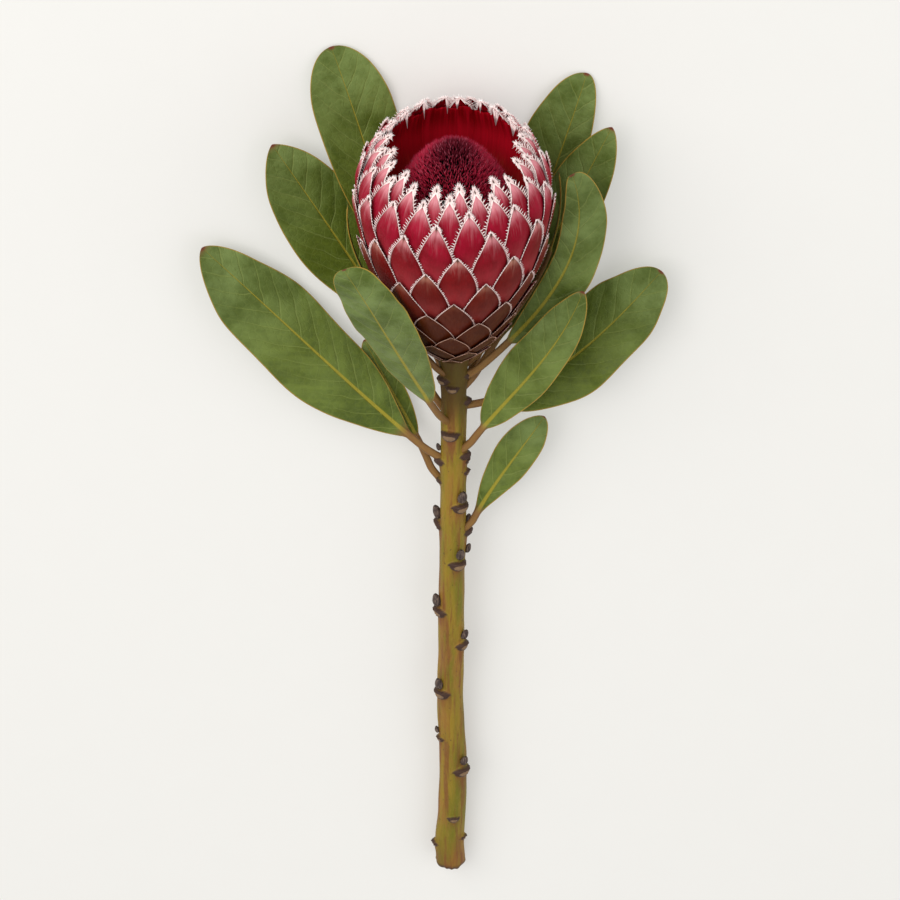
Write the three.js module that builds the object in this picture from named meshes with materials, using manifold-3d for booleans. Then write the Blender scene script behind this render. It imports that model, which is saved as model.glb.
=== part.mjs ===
import * as THREE from 'three';
import { mergeVertices } from 'three/addons/utils/BufferGeometryUtils.js';
import Module from 'manifold-3d';

// A cut protea stem lying on a table: a woody stem with leaf scars and buds, thirteen leathery
// leaves, a goblet of overlapping bracts and the dome of florets that it holds.
//
// Lengths are millimetres. Everything is drawn in the growth frame: x to the right, y away from
// the side that shows best, z up the stem from the middle of its cut end. layDown() then puts the
// plant on its back, the head towards +Y and the table at z = 0.

const wasm = await Module();
wasm.setup();

// Driving dimensions
const CLEARANCE = 0.3;              // gap between pieces that touch

const STEM_LENGTH = 249;            // cut end to the base of the flower head
const STEM_SIDES = 12;
const RECEPTACLE_HEIGHT = 3.2;      // stem's swollen top, inside the head
const RECEPTACLE_RADIUS = 6.4;
const RECEPTACLE_ROOT = 4;          // its foot reaches this far down into the shaft
// Height up the stem, sideways wander of its centre, radius
const STEM_STATIONS = [
  [0, -0.6, 5.5], [1.4, -0.6, 6.1], [11, -1.0, 5.9], [29, 0, 5.7], [52, 0.4, 5.5], [84, -0.7, 5.3],
  [108, -0.2, 5.2], [143, 0, 5.1], [168, 0.4, 5.1], [203, 0.4, 5.0], [226, 0.6, 5.0],
  [240, 0.6, 5.3], [247, 0.6, 6.4],
];
// Leaf scars: height up the stem, turn round it from the front (degrees, right is positive), size
const SCARS = [
  [235, -6, 0.7], [238, -53, 0.8], [239, 84, 0.7], [227, 82, 0.7], [214, -16, 1], [203, 66, 0.8],
  [200, -82, 0.9], [199, 92, 0.6], [194, 84, 0.6], [190, -84, 0.6], [180, 38, 1], [169, -104, 1],
  [166, 94, 0.9], [153, 28, 1], [129, -68, 1], [113, 58, 0.9], [90, -46, 1], [66, -62, 0.6],
  [51, 46, 1], [27, 8, 0.6], [12, -76, 0.6], [15, 72, 0.5], [100, 172, 0.9], [142, 160, 0.9],
  [190, 200, 0.9],
];
// Buds in the corners above some scars: height, turn, size
const BUDS = [
  [185, 36, 1.1], [174, -102, 1.1], [171, 96, 0.8], [157.5, 88, 0.8], [158, 30, 1], [134, -72, 1.1],
  [118, 58, 0.9], [94.5, -48, 1], [69.5, -74, 0.6], [56, 46, 0.9], [105, 174, 0.9], [205, -88, 0.6],
  [207, 84, 0.6],
];
// Ledges and buds: half sizes across, out and up, lift of the middle off the bark, lean (degrees)
const LEDGE = { halfSize: [3.9, 2.0, 1.7], lift: 0.1, lean: -12 };
const BUD = { halfSize: [1.8, 1.5, 2.5], lift: 0.8, lean: 16 };

const HEAD_X = 0.6;                 // head's axis, sideways
const HEAD_LEAN = 15;               // degrees, towards the front
const HEAD_LENGTH = 111;
// Outline of the head: height along its axis, radius
const HEAD_PROFILE = [
  [0, 8.5], [9, 15], [22, 22.7], [42, 30.7], [64, 36.9], [87, 38.4], [102, 33.5], [111, 25.0],
];
const WIDEST_HEIGHT = 87;
const HEAD_SEGMENTS = 24;

const GOLDEN_TURN = 137.508;        // degrees from one bract to the next
const LOOSE_TURN = 0.28;            // what the lower bracts add to each step
const FIRST_BRACT = -66;            // the bracts are counted from one in the middle of the front
const FIRST_INNER_BRACT = 24;       // from here on they line the mouth of the goblet
const LAST_BRACT = 57;
const FRONT_BRACT_TURN = 2.1;
const FRONT_BRACT_HEIGHT = 88.2;
const BRACT_RISE = 1.22;            // tip to tip, below the front bract
const MOUTH_HEIGHT = 111.5;         // the tips above it close up on this height
const MOUTH_RATE = 0.057;
const BRACT_SPACING = 0.08;         // each bract lies this much inside the one before
const BRACT_THICKNESS = 1.0;        // of those that stand free round the mouth
const TIP_STEP = 1.5;               // height of an outer bract's tip over those behind it
const SWELL_DEPTH = 0.4;            // its middle lies this much below its tip
const EDGE_BULGE = 0.13;            // how far its sides swell out, as a share of their length
const EDGE_PARTS = 3;
const BASE_HEIGHT = 0.6;            // the lowest bracts end on this ring
const LEFT_STEP = 8;                // the bract under a bract's left side is this many before it
const RIGHT_STEP = 13;              // and the one under its right side
const OUTER_LAYER = 3.0;            // depth of the outer bracts' layer
const INNER_LAYER = 7.0;            // depth of both layers
const MOUTH_RADIUS = 28.9;          // the inner bracts stand no wider than this as they rise

const DOME_TOP = 106.5;             // top of the florets' dome along the head's axis
const DOME_FALL = 0.068;            // its surface falls by this much times the radius squared
const DOME_RADIUS = 20.5;
const BRISTLE_COUNT = 120;
const BRISTLE_LENGTH = 2.6;
const BRISTLE_RADIUS = 1.0;
const BRISTLE_ROOT = 1.2;           // sunk into the dome
const BRISTLE_REACH = 0.95;         // share of the dome that carries them
const BRISTLE_LEAN = 0.7;           // radians that they lean outwards at its edge

const REST_SLOPE = 2.25;            // degrees that the lying stem climbs to the head
const REST_RADIUS = 6.1;            // stem's radius where its end touches the table
const PLACE_X = 6.65;               // brings the origin under the middle of the plant
const PLACE_Y = -185.15;

const RIB_STATIONS = 12;
const PETIOLE_HALF_WIDTH = 1.9;
const PETIOLE_THICKNESS = 2.6;
const BLADE_THICKNESS = 0.8;
// Each leaf: cubic rib from the stem to the tip, half widths left and right of it, powers of the
// blade's outline towards the stem and the tip, petiole's share of the length, turn of the blade
// about its rib at the stem and at the tip (degrees), how far its edges curl up and how they wave
const LEAVES = [
  { name: 'leaf_left_back_upper',
    rib: [[-2, 4.6, 233], [-19.6, 14, 272], [-29.5, 14.4, 324], [-45.3, 19.6, 370]],
    widths: [15.3, 15.9], powers: [1.28, 0.49], petiole: 0.2, roll: [-30, 8], curl: 0.12, wave: 0.8 },
  { name: 'leaf_left_back_lower',
    rib: [[-5, 1.5, 222], [-23.5, 9.5, 259.5], [-46, 12, 295], [-67.8, 9, 334]],
    widths: [16.4, 15.5], powers: [1.34, 0.75], petiole: 0.2, roll: [-20, 4], curl: 0.12, wave: 0.8 },
  { name: 'leaf_left_large',
    rib: [[-5.9, -1, 200], [-31.5, 2, 221.5], [-63, 8, 255], [-95.5, 9, 289]],
    widths: [18.3, 14.7], powers: [0.85, 0.64], petiole: 0.14, roll: [0, 0], curl: 0.1, wave: 1.2 },
  { name: 'leaf_left_front',
    rib: [[-1.2, -5, 218], [-16.5, -21.5, 250], [-28, -46, 291.9], [-40, -44, 310.9]],
    widths: [11.2, 13.5], powers: [0.64, 0.37], petiole: 0.15, roll: [35, 42], curl: -0.1, wave: 0.5 },
  { name: 'leaf_left_small',
    rib: [[-7.1, 2, 190], [-14, 7, 208], [-25, 11, 225.5], [-34, 12, 246]],
    widths: [6.7, 5], powers: [0.61, 0.62], petiole: 0.3, roll: [0, 0], curl: 0.1, wave: 0.4 },
  { name: 'leaf_right_back_upper',
    rib: [[3, 4.3, 226], [22, 12.2, 267.7], [38, 13.8, 314.5], [50.6, 19.2, 359]],
    widths: [15.3, 9.2], powers: [0.99, 0.49], petiole: 0.2, roll: [30, -8], curl: 0.12, wave: 0.8 },
  { name: 'leaf_right_back_lower',
    rib: [[5.2, 0.5, 231], [24.5, 6, 261.1], [42.5, 10, 301.4], [60, 8, 342]],
    widths: [11.4, 11.4], powers: [1.12, 0.68], petiole: 0.2, roll: [20, 0], curl: 0.12, wave: 0.8 },
  { name: 'leaf_right_flank',
    rib: [[5.4, -1, 236.5], [35.5, -5, 267], [55.5, -13, 301.5], [44.5, -12, 333]],
    widths: [6.5, 11.3], powers: [0.5, 0.39], petiole: 0.3, roll: [-10, -10], curl: -0.08, wave: 0.6 },
  { name: 'leaf_right_large',
    rib: [[6.2, 1, 223], [35.5, 4, 226.5], [57.5, 8, 248.5], [80, 6, 280.5]],
    widths: [15.9, 15], powers: [0.5, 0.46], petiole: 0.14, roll: [0, 0], curl: 0.1, wave: 1.1 },
  { name: 'leaf_right_front',
    rib: [[5, -3, 204.5], [18, -10, 231.5], [39.5, -17, 253.5], [49.5, -15, 284]],
    widths: [11.7, 8.4], powers: [0.61, 0.61], petiole: 0.17, roll: [0, 0], curl: -0.08, wave: 0.7 },
  { name: 'leaf_right_small',
    rib: [[6.7, -1, 167], [14.3, 1, 184.5], [26.3, 3, 199.5], [36, 3, 216.5]],
    widths: [8.4, 7.4], powers: [1.02, 0.62], petiole: 0.12, roll: [0, 0], curl: 0.1, wave: 0.4 },
  { name: 'leaflet_left',
    rib: [[-2.6, -3, 238], [-22, -3, 262], [-43, -2, 290], [-39.2, -1, 314]],
    widths: [3, 3], powers: [0.8, 0.7], petiole: 0.5, roll: [80, 88], curl: 0, wave: 0 },
  { name: 'leaflet_right',
    rib: [[2.8, 2, 238], [31, 2, 267], [45, 0, 299.3], [40, 0.5, 327]],
    widths: [3, 3], powers: [0.8, 0.7], petiole: 0.6, roll: [-80, -88], curl: 0, wave: 0 },
];
// The side that shows best is seen from this far above the ground, with the stem upright
const VIEW_ELEVATION = 33;

const STEM_COLOUR = 0xa39240;
const LEAF_COLOUR = 0x64753f;
const OUTER_BRACT_COLOUR = 0xa8304c;
const INNER_BRACT_COLOUR = 0xc4607c;
const FLORET_COLOUR = 0x4a0b28;

const radians = THREE.MathUtils.degToRad;

// A random draw in 0..1 from whole numbers, the same on every run
function scatter(a, b) {
  const value = Math.sin(a * 127.1 + b * 311.7) * 43758.5453;
  return value - Math.floor(value);
}

// Smooth curve through a table of [position, value] pairs, flat-ended and without overshoot
function tabulated(table, at) {
  const last = table.length - 1;
  if (at <= table[0][0]) return table[0][1];
  if (at >= table[last][0]) return table[last][1];
  let k = 0;
  while (at > table[k + 1][0]) k += 1;
  const slope = (i) => (table[i + 1][1] - table[i][1]) / (table[i + 1][0] - table[i][0]);
  const tangent = (i) => {
    if (i === 0) return slope(0);
    if (i === last) return slope(last - 1);
    const [before, after] = [slope(i - 1), slope(i)];
    return before * after <= 0 ? 0 : 2 * before * after / (before + after);
  };
  const span = table[k + 1][0] - table[k][0];
  const t = (at - table[k][0]) / span;
  return table[k][1] * (1 + 2 * t) * (1 - t) ** 2 + tangent(k) * span * t * (1 - t) ** 2
    + table[k + 1][1] * t * t * (3 - 2 * t) + tangent(k + 1) * span * t * t * (t - 1);
}

function toSolid(geometry) {
  const bare = geometry.clone();
  bare.deleteAttribute('normal');
  bare.deleteAttribute('uv');
  const merged = mergeVertices(bare, 1e-4);
  return new wasm.Manifold(new wasm.Mesh({
    numProp: 3,
    vertProperties: new Float32Array(merged.attributes.position.array),
    triVerts: new Uint32Array(merged.index.array),
  }));
}

function toGeometry(solid) {
  const mesh = solid.getMesh();
  const geometry = new THREE.BufferGeometry();
  geometry.setAttribute('position', new THREE.BufferAttribute(mesh.vertProperties, 3));
  geometry.setIndex(new THREE.BufferAttribute(mesh.triVerts, 1));
  geometry.computeVertexNormals();
  return geometry;
}

// The largest body of a solid, without any loose scrap that a cut left behind
function largestBody(solid) {
  const bodies = solid.decompose();
  return bodies.reduce((best, body) => (body.volume() > best.volume() ? body : best));
}

// Closed plate from rows of { top, bottom } points that end in a row of one point, its tip.
// Both faces are split into triangles alike.
function plateGeometry(rows) {
  const points = [];
  const at = rows.map((row) => row.map((pair) => {
    points.push(pair.top, pair.bottom);
    return points.length - 2;
  }));
  const index = [];
  const face = (a, b, c) => index.push(a, b, c, a + 1, c + 1, b + 1);
  const wall = (a, b) => index.push(a, b, b + 1, a, b + 1, a + 1);
  for (let i = 0; i < at.length - 1; i += 1) {
    const [near, far] = [at[i], at[i + 1]];
    for (let j = 0; j < near.length - 1; j += 1) {
      if (far.length === 1) {
        face(near[j], near[j + 1], far[0]);
      } else {
        face(near[j], near[j + 1], far[j + 1]);
        face(near[j], far[j + 1], far[j]);
      }
    }
    wall(near[0], far[0]);
    wall(far[far.length - 1], near[near.length - 1]);
  }
  for (let j = 0; j < at[0].length - 1; j += 1) wall(at[0][j + 1], at[0][j]);
  const geometry = new THREE.BufferGeometry().setFromPoints(points);
  geometry.setIndex(index);
  return geometry;
}

// Closed skin over rings of equally many points, with a flat fan at each end
function ringGeometry(rings) {
  const sides = rings[0].length;
  const points = rings.flat();
  const index = [];
  for (let i = 0; i < rings.length - 1; i += 1) {
    for (let j = 0; j < sides; j += 1) {
      const a = i * sides + j;
      const b = i * sides + (j + 1) % sides;
      index.push(a, b, b + sides, a, b + sides, a + sides);
    }
  }
  for (let j = 1; j < sides - 1; j += 1) {
    const top = (rings.length - 1) * sides;
    index.push(0, j + 1, j, top, top + j, top + j + 1);
  }
  const geometry = new THREE.BufferGeometry().setFromPoints(points);
  geometry.setIndex(index);
  return geometry;
}

// Direction across the stem at a turn from the front
function across(turn) {
  return new THREE.Vector3(Math.sin(radians(turn)), -Math.cos(radians(turn)), 0);
}

function stemCentre(z) {
  const wander = tabulated(STEM_STATIONS.map(([height, x]) => [height, x]), z);
  return new THREE.Vector3(wander, 0, z);
}

function stemRadius(z) {
  return tabulated(STEM_STATIONS.map(([height, , radius]) => [height, radius]), z);
}

// Stem's bare shaft with its swollen top, thicker all round by the given allowance
function shaft(allowance) {
  const ring = (z, x, radius) => Array.from({ length: STEM_SIDES }, (_, j) =>
    across(180 + j * 360 / STEM_SIDES).multiplyScalar(radius + allowance).add(new THREE.Vector3(x, 0, z)));
  const rings = STEM_STATIONS.map(([z, x, radius]) => ring(z, x, radius));
  rings.push(ring(STEM_LENGTH + 0.4, HEAD_X, RECEPTACLE_RADIUS));
  return toSolid(ringGeometry(rings));
}

// Rounded lump of a kind on the stem's surface, thicker all round by the allowance
function lump(kind, [height, turn, size], allowance) {
  const shape = new THREE.SphereGeometry(1, 6, 4);
  shape.rotateX(Math.PI / 2);
  shape.scale(...kind.halfSize.map((half) => half * size + allowance));
  shape.rotateX(radians(kind.lean));
  shape.translate(0, -stemRadius(height) - kind.lift * size, 0);
  shape.rotateZ(radians(turn));
  const centre = stemCentre(height);
  shape.translate(centre.x, centre.y, centre.z);
  return toSolid(shape);
}

function receptacle() {
  const height = RECEPTACLE_HEIGHT + RECEPTACLE_ROOT;
  const disc = new THREE.CylinderGeometry(RECEPTACLE_RADIUS - 0.5, RECEPTACLE_RADIUS, height, STEM_SIDES);
  disc.rotateX(Math.PI / 2);
  disc.translate(0, 0, RECEPTACLE_HEIGHT - height / 2);
  disc.applyMatrix4(headPlacement());
  return toSolid(disc);
}

// The stem with a ledge under each leaf scar and a bud above some of them
function stemSolid(allowance) {
  const ledges = SCARS.map((scar) => lump(LEDGE, scar, allowance));
  const buds = BUDS.map((bud) => lump(BUD, bud, allowance));
  return wasm.Manifold.union([shaft(allowance), receptacle(), ...ledges, ...buds]);
}

// From head coordinates (z along the head's axis, -y to its front) to the growth frame
function headPlacement() {
  return new THREE.Matrix4().makeTranslation(HEAD_X, 0, STEM_LENGTH)
    .multiply(new THREE.Matrix4().makeRotationX(radians(HEAD_LEAN)));
}

function headRadius(h) {
  return tabulated(HEAD_PROFILE, h);
}

function headPoint(turn, h, radius) {
  return across(turn).multiplyScalar(radius).setZ(h).applyMatrix4(headPlacement());
}

// Shell or body of revolution about the head's axis from its [radius, height] outline
function turned(outline, segments) {
  const shape = new THREE.LatheGeometry(outline.map(([r, h]) => new THREE.Vector2(r, h)), segments);
  shape.rotateX(Math.PI / 2);
  shape.applyMatrix4(headPlacement());
  return toSolid(shape);
}

function bractTurn(n) {
  return FRONT_BRACT_TURN + GOLDEN_TURN * n - LOOSE_TURN * Math.min(n, 0);
}

function bractTipHeight(n) {
  if (n < 0) return FRONT_BRACT_HEIGHT + BRACT_RISE * n;
  return MOUTH_HEIGHT - (MOUTH_HEIGHT - FRONT_BRACT_HEIGHT) * Math.exp(-MOUTH_RATE * n);
}

// Count of the bract whose tip would be at this height
function bractAtHeight(h) {
  if (h < FRONT_BRACT_HEIGHT) return (h - FRONT_BRACT_HEIGHT) / BRACT_RISE;
  return -Math.log((MOUTH_HEIGHT - h) / (MOUTH_HEIGHT - FRONT_BRACT_HEIGHT)) / MOUTH_RATE;
}

// Outer face of the inner bracts: inside the outer layer, then up to the mouth
function mouthRadius(h) {
  const inside = headRadius(h) - OUTER_LAYER - CLEARANCE;
  return h < WIDEST_HEIGHT ? inside : Math.min(headRadius(h), Math.max(inside, MOUTH_RADIUS));
}

// Half width of a bract at a distance below its tip: an ogive, blunter near the head's base
function bractHalfWidth(n, below) {
  const share = bractTipHeight(n) / HEAD_LENGTH;
  const widest = Math.min(8.4 - 1.3 * share, 0.45 * headRadius(bractTipHeight(n)));
  const ogive = 6 + 17 * share ** 1.2;
  return widest * (1 - Math.max(0, 1 - below / ogive) ** 2) ** 0.9;
}

// One free bract of the mouth: a thin plate from its sunk root to its tip
function mouthBract(n) {
  const tip = bractTipHeight(n);
  const rows = [24, 13.5, 5.3, 0].map((below) => {
    const h = tip - below;
    const radius = mouthRadius(h) - Math.min(BRACT_SPACING * (n - bractAtHeight(h)), MOUTH_DEEPEST);
    const half = bractHalfWidth(n, below);
    const columns = below === 0 ? [0] : [-1, 0, 1];
    return columns.map((u) => {
      const turn = bractTurn(n) + THREE.MathUtils.radToDeg(u * half / radius);
      const outer = radius - MOUTH_CROWN * Math.abs(u);
      return { top: headPoint(turn, h, outer), bottom: headPoint(turn, h, outer - BRACT_THICKNESS) };
    });
  });
  return toSolid(plateGeometry(rows));
}

// Place of a bract's tip on the head. Below the first bract the places close on the base ring.
function tipPlace(n) {
  const h = n < FIRST_BRACT ? BASE_HEIGHT : bractTipHeight(n);
  return { turn: bractTurn(n), h };
}

// Side of an outer bract from its tip down to the tip of the bract that lies over it: points on
// its raised edge and, under them, on the surface behind it
function bractEdge(n, step) {
  const tip = tipPlace(n);
  const end = tipPlace(n - step);
  const lean = ((end.turn - tip.turn) % 360 + 540) % 360 - 180;
  const width = Math.abs(radians(lean)) * headRadius(tip.h);
  const drop = tip.h - end.h;
  const onRing = n < FIRST_BRACT;
  return Array.from({ length: EDGE_PARTS + 1 }, (_, k) => {
    const f = k / EDGE_PARTS;
    const bulge = onRing ? 0 : EDGE_BULGE * 4 * f * (1 - f);
    const turn = tip.turn + lean * (f + bulge * drop / width);
    const h = tip.h - drop * f + bulge * width;
    const low = headRadius(h) - TIP_STEP;
    const high = headRadius(h) - TIP_STEP * f ** 1.5;
    return { high: headPoint(turn, h, k === EDGE_PARTS ? low : high), low: headPoint(turn, h, low) };
  });
}

// Outer bracts as one skin of overlapping scales, each with its own face and raised edges, closed
// above and below on the head's axis
function scaleSolid(last) {
  const left = new Map();
  const right = new Map();
  for (let n = FIRST_BRACT - LEFT_STEP - RIGHT_STEP; n <= last; n += 1) {
    left.set(n, bractEdge(n, LEFT_STEP));
    right.set(n, bractEdge(n, RIGHT_STEP));
  }
  const points = [];
  const face = (a, b, c) => points.push(a, b, c);
  const roof = headPoint(0, bractTipHeight(last) - 2, 0);
  const floor = headPoint(0, BASE_HEIGHT, 0);
  for (let n = FIRST_BRACT; n <= last; n += 1) {
    const foot = left.get(n - RIGHT_STEP);
    const side = right.get(n - LEFT_STEP);
    const rim = [
      ...left.get(n).map((edge) => edge.high),
      ...side.slice(1).map((edge) => edge.low),
      ...foot.slice(0, -1).reverse().map((edge) => edge.low),
      ...right.get(n).slice(1, -1).reverse().map((edge) => edge.high),
    ];
    const below = tipPlace(n - LEFT_STEP - RIGHT_STEP);
    const middle = (tipPlace(n).h * 1.1 + below.h * 0.9) / 2;
    const swell = headPoint(bractTurn(n), middle, headRadius(middle) - SWELL_DEPTH);
    rim.forEach((point, k) => face(swell, point, rim[(k + 1) % rim.length]));
    for (let k = 0; k < EDGE_PARTS; k += 1) {
      const [a, b] = [left.get(n)[k], left.get(n)[k + 1]];
      if (n + RIGHT_STEP > last) {
        face(b.high, a.high, roof);
      } else {
        face(b.high, a.high, a.low);
        if (k < EDGE_PARTS - 1) face(b.low, b.high, a.low);
      }
      const [c, d] = [right.get(n)[k], right.get(n)[k + 1]];
      if (n + LEFT_STEP > last) {
        face(c.high, d.high, roof);
      } else {
        face(c.high, d.high, c.low);
        if (k < EDGE_PARTS - 1) face(c.low, d.high, d.low);
      }
    }
    if (n + RIGHT_STEP > last && n + LEFT_STEP <= last) face(left.get(n)[0].high, left.get(n)[0].low, roof);
    for (let k = 0; k < EDGE_PARTS; k += 1) {
      if (n - LEFT_STEP < FIRST_BRACT) face(side[k + 1].low, side[k].low, floor);
      if (n - RIGHT_STEP < FIRST_BRACT) face(foot[k].low, foot[k + 1].low, floor);
    }
  }
  return toSolid(new THREE.BufferGeometry().setFromPoints(points));
}

function outerBracts() {
  const inner = (h) => Math.max(headRadius(h) - OUTER_LAYER, RECEPTACLE_RADIUS + CLEARANCE);
  const heights = [0, 4, 9, 15, 22, 32, 42, 53, 64, 76, 87, 95, 100];
  const top = bractTipHeight(FIRST_INNER_BRACT);
  const wall = heights.map((h) => [inner(h), h]);
  const outline = [[0, -1], [inner(0), -1], ...wall, [inner(100), top], [0, top]];
  return scaleSolid(FIRST_INNER_BRACT - 1).subtract(turned(outline, HEAD_SEGMENTS));
}

const INNER_BASE = RECEPTACLE_HEIGHT + CLEARANCE;
const FLORET_BASE = INNER_BASE + 3.8;
const MOUTH_WALL = 0.9;             // the cup lies this much inside the free bracts' outer faces
const MOUTH_DEEPEST = 1.8;          // and none of them is pressed further in than this
const MOUTH_CROWN = 0.35;           // their sides lie this much below their middle

function innerBracts() {
  const heights = [9, 15, 22, 32, 42, 53, 64, 76, 87, 95, 101];
  const base = headRadius(INNER_BASE) - OUTER_LAYER - CLEARANCE;
  const floor = headRadius(FLORET_BASE) - INNER_LAYER;
  const rise = heights.map((h) => [mouthRadius(h) - MOUTH_WALL, h]);
  const fall = heights.map((h) => [headRadius(h) - INNER_LAYER, h]).reverse();
  const foot = [[0, INNER_BASE], [base - 0.5, INNER_BASE]];
  const cup = turned([...foot, ...rise, ...fall, [floor, FLORET_BASE], [0, FLORET_BASE]], HEAD_SEGMENTS);
  const count = LAST_BRACT - FIRST_INNER_BRACT + 1;
  const free = Array.from({ length: count }, (_, k) => mouthBract(FIRST_INNER_BRACT + k));
  return wasm.Manifold.union([cup, ...free]);
}

function domeHeight(radius) {
  return DOME_TOP - DOME_FALL * radius ** 2;
}

// Florets packed in the goblet: a body that fills it and a dome covered in bristles
function florets() {
  const body = [12, 22, 32, 42, 53, 64, 74].map((h) => [headRadius(h) - INNER_LAYER - CLEARANCE, h]);
  const foot = FLORET_BASE + CLEARANCE;
  const start = [headRadius(FLORET_BASE) - INNER_LAYER - CLEARANCE, foot];
  const shoulder = [DOME_RADIUS + 2.5, domeHeight(DOME_RADIUS) - 1];
  const dome = [1, 0.8, 0.6, 0.42, 0.25, 0.1].map((share) => DOME_RADIUS * share);
  const surface = dome.map((radius) => [radius, domeHeight(radius)]);
  const fill = turned([[0, foot], start, ...body, shoulder, ...surface, [0, DOME_TOP]], HEAD_SEGMENTS);
  const bristles = Array.from({ length: BRISTLE_COUNT }, (_, k) => bristle(k));
  return largestBody(wasm.Manifold.union([fill, ...bristles]));
}

// Three-sided bristle standing on the dome, the k-th along a spiral from its top
function bristle(k) {
  const share = Math.sqrt((k + 0.5) / BRISTLE_COUNT);
  const radius = DOME_RADIUS * BRISTLE_REACH * share;
  const length = BRISTLE_LENGTH * (0.8 + 0.4 * scatter(k, 1));
  const spike = new THREE.ConeGeometry(BRISTLE_RADIUS, length + BRISTLE_ROOT, 3);
  spike.translate(0, (length - BRISTLE_ROOT) / 2, 0);
  spike.rotateX(Math.PI / 2);
  spike.rotateX(BRISTLE_LEAN * share);
  spike.translate(0, -radius, domeHeight(radius));
  spike.rotateZ(radians(GOLDEN_TURN * k));
  spike.applyMatrix4(headPlacement());
  return toSolid(spike);
}

// Frame along a leaf's rib: point, direction to the blade's right and normal to its shown face
function ribFrame(curve, s, roll) {
  const point = curve.getPoint(s);
  const along = curve.getTangent(s);
  const e = radians(VIEW_ELEVATION);
  const view = new THREE.Vector3(0, -Math.cos(e), Math.sin(e));
  const side = new THREE.Vector3().crossVectors(along, view).normalize();
  side.applyAxisAngle(along, -radians(roll));
  const normal = new THREE.Vector3().crossVectors(side, along).normalize();
  return { point, side, normal };
}

function leafSolid(leaf) {
  const curve = new THREE.CubicBezierCurve3(...leaf.rib.map((p) => new THREE.Vector3(...p)));
  const [p, q] = leaf.powers;
  const peak = (p / (p + q)) ** p * (q / (p + q)) ** q;
  const rows = Array.from({ length: RIB_STATIONS }, (_, i) => {
    const s = 1 - (1 - i / (RIB_STATIONS - 1)) ** 1.25;
    const roll = THREE.MathUtils.lerp(leaf.roll[0], leaf.roll[1], s);
    const { point, side, normal } = ribFrame(curve, s, roll);
    const t = Math.max(0, (s - leaf.petiole) / (1 - leaf.petiole));
    const blade = t ** p * (1 - t) ** q / peak;
    const petiole = PETIOLE_HALF_WIDTH * Math.sqrt(1 - s);
    const columns = s >= 1 ? [0] : [-1, -0.5, 0, 0.5, 1];
    return columns.map((u) => {
      const half = Math.hypot((u < 0 ? leaf.widths[0] : leaf.widths[1]) * blade, petiole);
      const ripple = leaf.wave * Math.sin(7 * Math.PI * s + (u < 0 ? 0 : 1.8)) * u * u * blade;
      const lift = leaf.curl * half * u * u * s + ripple;
      const round = Math.max(0, 1 - Math.abs(u) * (1 + 5 * blade)) * (1 - s);
      const thick = BLADE_THICKNESS + (PETIOLE_THICKNESS - BLADE_THICKNESS) * round;
      const middle = point.clone().addScaledVector(side, u * half).addScaledVector(normal, lift);
      return {
        top: middle.clone().addScaledVector(normal, thick / 2),
        bottom: middle.clone().addScaledVector(normal, -thick / 2),
      };
    });
  });
  return toSolid(plateGeometry(rows));
}

function material(colour, roughness) {
  return new THREE.MeshStandardMaterial({ color: colour, roughness, metalness: 0 });
}

function piece(name, solid, look) {
  const mesh = new THREE.Mesh(toGeometry(solid), look);
  mesh.name = name;
  return mesh;
}

// Turns the growth frame so that the plant lies on its back and its stem's end meets the table
function layDown(plant) {
  plant.rotation.x = radians(REST_SLOPE - 90);
  plant.position.set(PLACE_X, PLACE_Y, REST_RADIUS * Math.cos(radians(REST_SLOPE)));
  plant.updateMatrixWorld(true);
}

// Slab under the table's surface, in the growth frame: it presses the head's back flat
function tableSlab(plant) {
  const slab = new THREE.BoxGeometry(300, 500, 60);
  slab.translate(0, 0, -30);
  slab.applyMatrix4(plant.matrixWorld.clone().invert());
  return toSolid(slab);
}

const plant = new THREE.Group();
layDown(plant);
const table = tableSlab(plant);
const stemRoom = stemSolid(CLEARANCE);
const goblet = outerBracts().subtract(table);
const leafLook = material(LEAF_COLOUR, 0.5);

plant.add(piece('stem', stemSolid(0), material(STEM_COLOUR, 0.6)));
plant.add(piece('bracts_outer', largestBody(goblet), material(OUTER_BRACT_COLOUR, 0.6)));
plant.add(piece('bracts_inner', largestBody(innerBracts()), material(INNER_BRACT_COLOUR, 0.7)));
plant.add(piece('florets', florets(), material(FLORET_COLOUR, 0.8)));
for (const leaf of LEAVES) {
  plant.add(piece(leaf.name, largestBody(leafSolid(leaf).subtract(stemRoom)), leafLook));
}

export default plant;
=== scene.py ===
"""A cut protea stem that lies on a pale table: the looks of its bark, leaves, bracts and florets.

Lengths in the formulas are millimetres in the growth frame: x to the right, y away from the side
that shows best, z up the stem from its cut end. lay_down() turns them onto the table.
"""

import bpy
import numpy as np
from bpy.props import FloatProperty, FloatVectorProperty, IntProperty, PointerProperty
from bpy.types import Operator, Panel, PropertyGroup
from mathutils import Matrix, Vector


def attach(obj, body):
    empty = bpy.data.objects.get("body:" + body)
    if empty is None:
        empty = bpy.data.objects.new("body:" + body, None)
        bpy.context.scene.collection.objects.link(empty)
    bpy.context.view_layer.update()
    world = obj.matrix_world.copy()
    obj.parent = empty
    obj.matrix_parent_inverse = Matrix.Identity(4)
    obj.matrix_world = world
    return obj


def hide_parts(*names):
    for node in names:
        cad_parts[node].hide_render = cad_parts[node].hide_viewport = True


bl_info = {
    "name": "Protea stem",
    "version": (1, 0, 0),
    "blender": (4, 5, 0),
    "location": "View3D > Sidebar > Protea",
    "description": "Dresses a cut protea stem with bark, leaves, bracts, fringe and florets",
    "category": "Object",
}

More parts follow.
